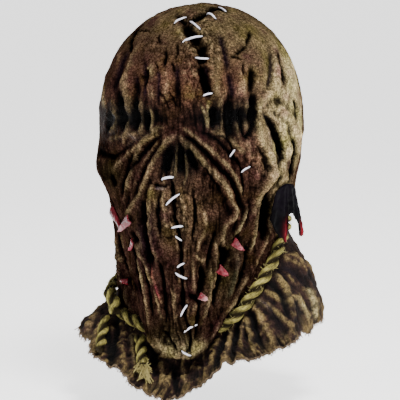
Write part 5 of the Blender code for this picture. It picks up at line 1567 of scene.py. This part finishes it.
def neck_path(steps):
    """The middle of the neck rope, closed."""
    tree = tree_of(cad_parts["hood"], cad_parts["collar"])
    neck = tree_of(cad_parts["hood"])
    angle = np.arange(steps) * 2.0 * math.pi / steps
    height, _, stand = rope_line(angle)
    path = []
    for turn, level, off in zip(angle, height, stand):
        outward = np.array((math.sin(turn), -math.cos(turn), 0.0))
        point = neck_face(neck, outward, level) + outward * (ROPE_DIAMETER / 2.0 + off + 0.0012)
        path.append(clear_of(tree, point, ROPE_DIAMETER / 2.0 + 0.0006, outward))
    path = np.array(path)
    for _ in range(3):
        path = (np.roll(path, 1, 0) + np.roll(path, -1, 0)) * 0.25 + path * 0.5
    return path


def piece_path(row, tree):
    """The middle of a rope piece that lies on the collar."""
    radius = row[7] * ROPE_DIAMETER / 2.0
    across = np.array((row[1], row[3], row[5]), float)
    down = np.array((row[2], row[4], row[6]), float)
    path = []
    for share in np.linspace(0.0, 1.0, 15):
        weights = np.array(((1 - share) ** 2 - share * (1 - share), 4 * share * (1 - share),
                            share ** 2 - share * (1 - share)))
        place, normal = on_surface(tree, across @ weights, down @ weights)
        outward = normal + TOWARD * 0.5
        outward = outward / np.linalg.norm(outward)
        path.append(clear_of(tree, place + outward * radius, radius + 0.0006, outward))
    return np.array(path)


class GHOUL_OT_rope(bpy.types.Operator):
    """Lay the two-strand rope round the neck, and its hitch and tails"""
    bl_idname = "ghoul.rope"
    bl_label = "Rope"

    def execute(self, context):
        settings = context.scene.ghoul_rope
        tree = rope_tree(jute_fibre(settings))
        path = neck_path(132)
        rope = guide("laid_rope", [path], True, numbers={"girth": np.ones(len(path))})
        rope = grown(rope, tree, {
            "Diameter": ROPE_DIAMETER, "Lays": float(settings.lays), "Steps": settings.steps})
        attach(rope, "root")
        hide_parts("neck_rope")
        under = tree_of(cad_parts["hood"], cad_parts["collar"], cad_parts["neck_rope"])
        for row in ROPE_PIECES:
            path = piece_path(row, under)
            ends = np.clip(np.minimum(np.arange(15), np.arange(15)[::-1]) / 1.5, 0.0, 1.0)
            girth = 0.62 + 0.38 * np.sin(ends * math.pi / 2.0)
            piece = guide("laid_" + row[0], [path], numbers={"girth": girth})
            piece = grown(piece, tree, {
                "Diameter": ROPE_DIAMETER * row[7], "Lays": row[8], "Steps": 90})
            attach(piece, "root")
            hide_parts(row[0])
        return {"FINISHED"}


def leaf(name, grid, wall, material, paint):
    """A closed thin leaf from an open grid of outside points, and its paint."""
    rows, columns = grid.shape[:2]
    along = np.gradient(grid, axis=1)
    down = np.gradient(grid, axis=0)
    normal = np.cross(down, along)
    normal /= np.maximum(np.linalg.norm(normal, axis=-1, keepdims=True), 1e-12)
    if (normal @ TOWARD).sum() < 0.0:
        normal = -normal
    inner = grid - normal * wall
    count = rows * columns
    faces = []
    for row in range(rows - 1):
        for column in range(columns - 1):
            first = row * columns + column
            face = (first, first + columns, first + columns + 1, first + 1)
            faces.append(face)
            faces.append(tuple(count + index for index in face[::-1]))
    rim = [column for column in range(columns)]
    rim += [row * columns + columns - 1 for row in range(1, rows)]
    rim += [(rows - 1) * columns + column for column in range(columns - 2, -1, -1)]
    rim += [row * columns for row in range(rows - 2, 0, -1)]
    for first, after in zip(rim, rim[1:] + rim[:1]):
        faces.append((first, after, count + after, count + first))
    vertices = np.concatenate((grid.reshape(-1, 3), inner.reshape(-1, 3)))
    # The inner face is painted darker: painted shade on the underside of the leaf.
    colours = np.concatenate((paint.reshape(-1, 3), paint.reshape(-1, 3) * 0.6))
    piece = mesh_piece(name, vertices, faces, material, {"paint": colours})
    face_out(piece)
    piece.data.shade_smooth()
    return piece


def settled(tree, grid, outward, room):
    """A grid moved outwards as one until its points have room from the surfaces of a tree."""
    for _ in range(40):
        near = min(tree.find_nearest(Vector(point))[3] for point in grid.reshape(-1, 3)[::3])
        buried = any(
            tree.ray_cast(Vector(point), Vector(outward), 0.004)[0]
            for point in grid.reshape(-1, 3)[::3]
        )
        if near >= room and not buried:
            break
        grid = grid + outward * 0.0005
    return grid


class GHOUL_OT_flaps(bpy.types.Operator):
    """Shape the torn flaps and the dark drape beside the jaw"""
    bl_idname = "ghoul.flaps"
    bl_label = "Torn flaps"

    def execute(self, context):
        settings = context.scene.ghoul_trim
        raw = wet_latex("poured_raw_latex", 0.24, 0.22)
        dark = wet_latex("poured_dark_latex", 0.42, 0.03)
        skin = tree_of(made("skin"))
        for name, a0, d0, a1, d1, width0, width1, lift0, lift1, tip_colour in TORN_FLAPS:
            root, normal0 = on_surface(skin, a0, d0)
            tip, normal1 = on_surface(skin, a1, d1)
            ahead = tip - root
            outward = normal0 + normal1 + TOWARD
            outward = outward / np.linalg.norm(outward)
            aside = np.cross(outward, ahead)
            aside /= np.linalg.norm(aside)
            shares = np.linspace(0.0, 1.0, 19)
            offsets = np.linspace(-0.5, 0.5, 15)
            grid = np.zeros((19, 15, 3))
            for row, share in enumerate(shares):
                width = (width0 + (width1 - width0) * share ** 1.5) * FOLD_WIDTH
                width *= 1.0 - 0.65 * smooth((share - 0.86) / 0.14)
                width *= 1.0 + 0.3 * noise.noise(Vector((row * 0.7, d0, 0.0)))
                lift = (lift0 + (lift1 - lift0) * share) * FOLD_WIDTH + 0.002
                curl = 0.9 * MM * math.sin(share * 5.0 + d0)
                for column, offset in enumerate(offsets):
                    arch = lift + curl + 0.22 * FOLD_WIDTH * (1.0 - 4.0 * offset * offset)
                    grid[row, column] = root + ahead * share + aside * offset * width + outward * arch
            wrinkle = fractal(grid, 0.003, 3, seed=51.0)
            grid = grid + outward * (0.8 * MM * wrinkle)[..., None]
            grid = settled(skin, grid, outward, 0.0019)
            share = np.broadcast_to(shares[:, None], (19, 15))
            edge = np.abs(np.broadcast_to(offsets[None], (19, 15))) * 2.0
            blend = (smooth((share - 0.25) / 0.7) * 0.85 + 0.25 * smooth((edge - 0.6) / 0.4))[..., None]
            blend = np.clip(blend * (0.7 + 0.9 * wrinkle[..., None]), 0.0, 1.0)
            paint = np.array(settings.flap_root) * (1.0 - blend) + np.array(linear(tip_colour)) * blend
            piece = leaf("raw_" + name, grid, settings.flap_wall, raw, paint)
            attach(piece, "root")
            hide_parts(name)
        self.drape(skin, dark, settings)
        return {"FINISHED"}

    def drape(self, skin, material, settings):
        columns, rows = 57, 25
        table = through(EAR_DRAPE, np.linspace(0.0, 7.0, columns))
        grid = np.zeros((rows, columns, 3))
        ragged = np.array([noise.noise(Vector((column * 0.55, 3.0, 7.0))) for column in range(columns)])
        for row, share in enumerate(np.linspace(0.0, 1.0, rows)):
            across = (table[:, 0] + (table[:, 2] - table[:, 0]) * share)
            down = table[:, 1] + (table[:, 3] - table[:, 1]) * share + ragged * 3.0 * share
            across, down = drawn_size(across, down)
            wide = (0.985 + 0.01 * share) * HEAD_WIDTH / 2.0
            deep = 0.85 * wide
            edge = math.hypot(wide * RIGHT[0], deep * RIGHT[1])
            turn = np.arcsin(np.minimum(across / edge, 0.999)) + math.atan2(deep * RIGHT[1], wide * RIGHT[0])
            x = wide * np.sin(turn)
            y = -deep * np.cos(turn)
            z = (CROWN_MARGIN - down - x * UP[0] - y * UP[1]) / UP[2]
            grid[row] = np.stack((x, y, z), -1)
        outward = (RIGHT + TOWARD * 0.4) / np.linalg.norm(RIGHT + TOWARD * 0.4)
        share = np.broadcast_to(np.linspace(0.0, 1.0, rows)[:, None], (rows, columns))
        pleat = np.sin(np.arange(columns) * 0.62)[None] * share * 1.1 * MM
        wrinkle = fractal(grid, 0.006, 3, seed=61.0) * 0.9 * MM
        grid = grid + outward * (pleat + wrinkle)[..., None]
        grid = settled(skin, grid, outward, 0.0018)
        place = np.broadcast_to(np.linspace(0.0, 1.0, columns)[None], (rows, columns))
        tips = np.maximum(
            np.exp(-((place - 0.29) / 0.05) ** 2), np.exp(-((place - 0.94) / 0.07) ** 2)
        ) * smooth((share - 0.55) / 0.4)
        paint = np.ones(grid.shape) * np.array(settings.drape)
        # Painted shade: the drape is painted darker towards its torn lower edge.
        paint = paint * (1.0 - 0.7 * smooth((share - 0.35) / 0.3)[..., None])
        paint = paint * (1.0 - tips[..., None]) + np.array(linear("#7a1420")) * tips[..., None]
        piece = leaf("raw_ear_flap", grid, settings.flap_wall, material, paint)
        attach(piece, "root")
        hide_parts("ear_flap")


class GHOUL_OT_sutures(bpy.types.Operator):
    """Sew the white sutures across the splits"""
    bl_idname = "ghoul.sutures"
    bl_label = "Sutures"

    def execute(self, context):
        settings = context.scene.ghoul_trim
        skin = tree_of(made("skin"))
        lines = []
        girths = []
        for a0, d0, a1, d1, bow, girth in SUTURES:
            shares = np.linspace(0.0, 1.0, 13)
            ends = [on_surface(skin, a0, d0), on_surface(skin, a1, d1)]
            outward = ends[0][1] + ends[1][1] + TOWARD
            outward = outward / np.linalg.norm(outward)
            chord = ends[1][0] - ends[0][0]
            aside = np.cross(outward, chord)
            aside /= np.linalg.norm(aside)
            radius = settings.thread * girth / 2.0
            line = []
            for share in shares:
                arch = math.sin(share * math.pi)
                point = ends[0][0] + chord * share + aside * bow * MM * arch
                over = on_surface(skin, a0 + (a1 - a0) * share, d0 + (d1 - d0) * share)[0]
                rise = max(0.0, (over - point) @ outward) * min(1.0, arch * 2.0)
                line.append(point + outward * (rise + radius * (arch * 1.5 - 0.5)))
            line = np.array(line)
            for _ in range(2):
                line[1:-1] = line[1:-1] * 0.5 + (line[2:] + line[:-2]) * 0.25
            lines.append(line)
            girths.extend(girth * (0.55 + 0.45 * smooth(np.minimum(shares, 1.0 - shares) * 5.0)))
        thread = thread_material("waxed_polyester_thread", settings.suture, 0.42)
        sutures = guide("sutures", lines, numbers={"girth": girths})
        sutures = grown(sutures, thread_tree(thread), {"Diameter": settings.thread, "Sides": 8})
        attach(sutures, "root")
        return {"FINISHED"}


class GHOUL_OT_fibres(bpy.types.Operator):
    """Fray the hem of the collar and the rope"""
    bl_idname = "ghoul.fibres"
    bl_label = "Loose fibres"

    def execute(self, context):
        cloth_settings = context.scene.ghoul_cloth
        rope_settings = context.scene.ghoul_rope
        cloth = made("cloth_collar").data
        spots = np.array([vertex.co[:] for vertex in cloth.vertices])
        grid = spots[:(CLOTH_ROWS + 1) * CLOTH_COLUMNS].reshape(CLOTH_ROWS + 1, CLOTH_COLUMNS, 3)
        hem = grid[-1]
        lie = grid[-1] - grid[-5]
        lie = lie / np.linalg.norm(lie, axis=1, keepdims=True) + (0.0, 0.0, -0.5)
        lie /= np.linalg.norm(lie, axis=1, keepdims=True)
        dark = thread_material("loose_cotton_thread", linear("#6e5b45"), 0.8)
        tree = fibre_tree(dark)
        hem = hem - lie * 0.0015
        fray = guide("hem_fray", [hem], True, vectors={"lie": lie})
        fray = grown(fray, tree, {
            "Spacing": cloth_settings.fray_spacing, "Length": cloth_settings.fray_length,
            "Thickness": 0.00045, "Spread": 0.3, "Seed": 4})
        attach(fray, "root")
        pale = thread_material("loose_jute_fibre", linear("#a3955a"), 0.75)
        tree = fibre_tree(pale)
        rng = random.Random(7)
        rope = made("laid_rope").data
        lines = []
        lies = []
        for _ in range(420):
            vertex = rope.vertices[rng.randrange(len(rope.vertices))]
            start = np.array(vertex.co)
            outward = np.array(vertex.normal)
            lines.append([start - outward * 0.0002, start - outward * 0.0002 + (0.0, 0.0, 0.0004)])
            lies.extend([outward, outward])
        fuzz = guide("rope_fuzz", lines, vectors={"lie": lies})
        fuzz = grown(fuzz, tree, {
            "Spacing": 0.001, "Length": rope_settings.fibre_length,
            "Thickness": 0.0002, "Spread": 1.1, "Seed": 9})
        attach(fuzz, "root")
        self.frayed_tail(tree, rng)
        return {"FINISHED"}

    def frayed_tail(self, tree, rng):
        """Fibres that hang from the end of the front tail."""
        under = tree_of(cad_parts["hood"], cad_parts["collar"])
        lines = []
        lies = []
        for _ in range(90):
            across = rng.uniform(-63, -53)
            down = rng.uniform(362, 374)
            place, normal = on_surface(under, across, down)
            ahead = on_surface(under, across + (across + 58) * 0.35, down + 14)[0]
            lie = ahead - place + normal * 0.001
            start = place + normal * rng.uniform(0.002, 0.009)
            lines.append([start, start + (0.0, 0.0, 0.0004)])
            lies.extend([lie / np.linalg.norm(lie)] * 2)
        tail = guide("tail_fray", lines, vectors={"lie": lies})
        tail = grown(tail, tree, {
            "Spacing": 0.001, "Length": 0.014, "Thickness": 0.0005, "Spread": 0.12, "Seed": 12})
        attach(tail, "root")


class GHOUL_OT_stage(bpy.types.Operator):
    """Lay the pale floor, the studio lights and the camera"""
    bl_idname = "ghoul.stage"
    bl_label = "Stage"

    def execute(self, context):
        settings = context.scene.ghoul_stage
        floor_level = min(CAD_LOW[2], -0.434) - 0.006
        middle = drawn_size(-1.0, 200.0)
        target = middle[0] * RIGHT + (CROWN_MARGIN - middle[1]) * UP
        camera = bpy.data.objects.new("camera", bpy.data.cameras.new("camera"))
        context.scene.collection.objects.link(camera)
        camera.location = Vector(target + TOWARD * settings.distance)
        camera.rotation_euler = Vector(TOWARD).to_track_quat("Z", "Y").to_euler()
        camera.data.sensor_width = SENSOR_WIDTH
        camera.data.lens = SENSOR_WIDTH * settings.distance / VIEW_WIDTH
        context.scene.camera = camera
        corners = ((-1, -1), (1, -1), (1, 1), (-1, 1))
        vertices = [(x * FLOOR_HALF, y * FLOOR_HALF, floor_level) for x, y in corners]
        paper, _, shader = new_material("studio_paper")
        shader.inputs["Base Color"].default_value = (*settings.paper, 1.0)
        shader.inputs["Roughness"].default_value = 0.9
        shader.inputs["Emission Color"].default_value = (1.0, 1.0, 1.0, 1.0)
        shader.inputs["Emission Strength"].default_value = 1.9
        floor = mesh_piece("studio_floor", vertices, [(0, 1, 2, 3)], paper)
        for name, azimuth, elevation, distance, size, power in (
            ("key", 34, 54, 1.6, 0.45, 42.0),
            ("fill", 70, 20, 1.8, 0.8, 7.0),
            ("side", -60, 30, 1.8, 0.8, 7.0),
            ("rim", 165, 40, 1.8, 0.7, 5.0),
        ):
            light = bpy.data.lights.new(name, "AREA")
            light.energy = power
            light.size = size
            lamp = bpy.data.objects.new(name, light)
            context.scene.collection.objects.link(lamp)
            turn, rise = math.radians(azimuth), math.radians(elevation)
            ray = Vector((math.sin(turn) * math.cos(rise), -math.cos(turn) * math.cos(rise), math.sin(rise)))
            lamp.location = Vector(target) + ray * distance
            lamp.rotation_euler = ray.to_track_quat("Z", "Y").to_euler()
        world = bpy.data.worlds.new("studio")
        world.use_nodes = True
        background = world.node_tree.nodes["Background"]
        background.inputs["Color"].default_value = (1.0, 1.0, 1.0, 1.0)
        background.inputs["Strength"].default_value = 0.22
        context.scene.world = world
        return {"FINISHED"}


class GHOUL_PT_mask(bpy.types.Panel):
    """Settings and steps of the mask"""
    bl_idname = "GHOUL_PT_mask"
    bl_label = "Ghoul mask"
    bl_space_type = "VIEW_3D"
    bl_region_type = "UI"
    bl_category = "Mask"

    def draw(self, context):
        layout = self.layout
        for key, group in GROUPS:
            box = layout.box()
            for name in group.__annotations__:
                box.prop(getattr(context.scene, key), name)
        for operator in OPERATORS:
            layout.operator(operator.bl_idname)


GROUPS = (
    ("ghoul_skin", GhoulSkinSettings),
    ("ghoul_cloth", GhoulClothSettings),
    ("ghoul_rope", GhoulRopeSettings),
    ("ghoul_trim", GhoulTrimSettings),
    ("ghoul_stage", GhoulStageSettings),
)
OPERATORS = (
    GHOUL_OT_stage, GHOUL_OT_hood, GHOUL_OT_collar, GHOUL_OT_rope, GHOUL_OT_flaps, GHOUL_OT_sutures,
    GHOUL_OT_fibres,
)


def register():
    for key, group in GROUPS:
        bpy.utils.register_class(group)
        setattr(bpy.types.Scene, key, bpy.props.PointerProperty(type=group))
    for operator in OPERATORS:
        bpy.utils.register_class(operator)
    bpy.utils.register_class(GHOUL_PT_mask)


def unregister():
    bpy.utils.unregister_class(GHOUL_PT_mask)
    for operator in reversed(OPERATORS):
        bpy.utils.unregister_class(operator)
    for key, group in reversed(GROUPS):
        delattr(bpy.types.Scene, key)
        bpy.utils.unregister_class(group)


def main():
    register()
    bpy.ops.ghoul.stage()
    bpy.ops.ghoul.hood()
    bpy.ops.ghoul.collar()
    bpy.ops.ghoul.rope()
    bpy.ops.ghoul.flaps()
    bpy.ops.ghoul.sutures()
    bpy.ops.ghoul.fibres()


if __name__ == "__main__":
    main()
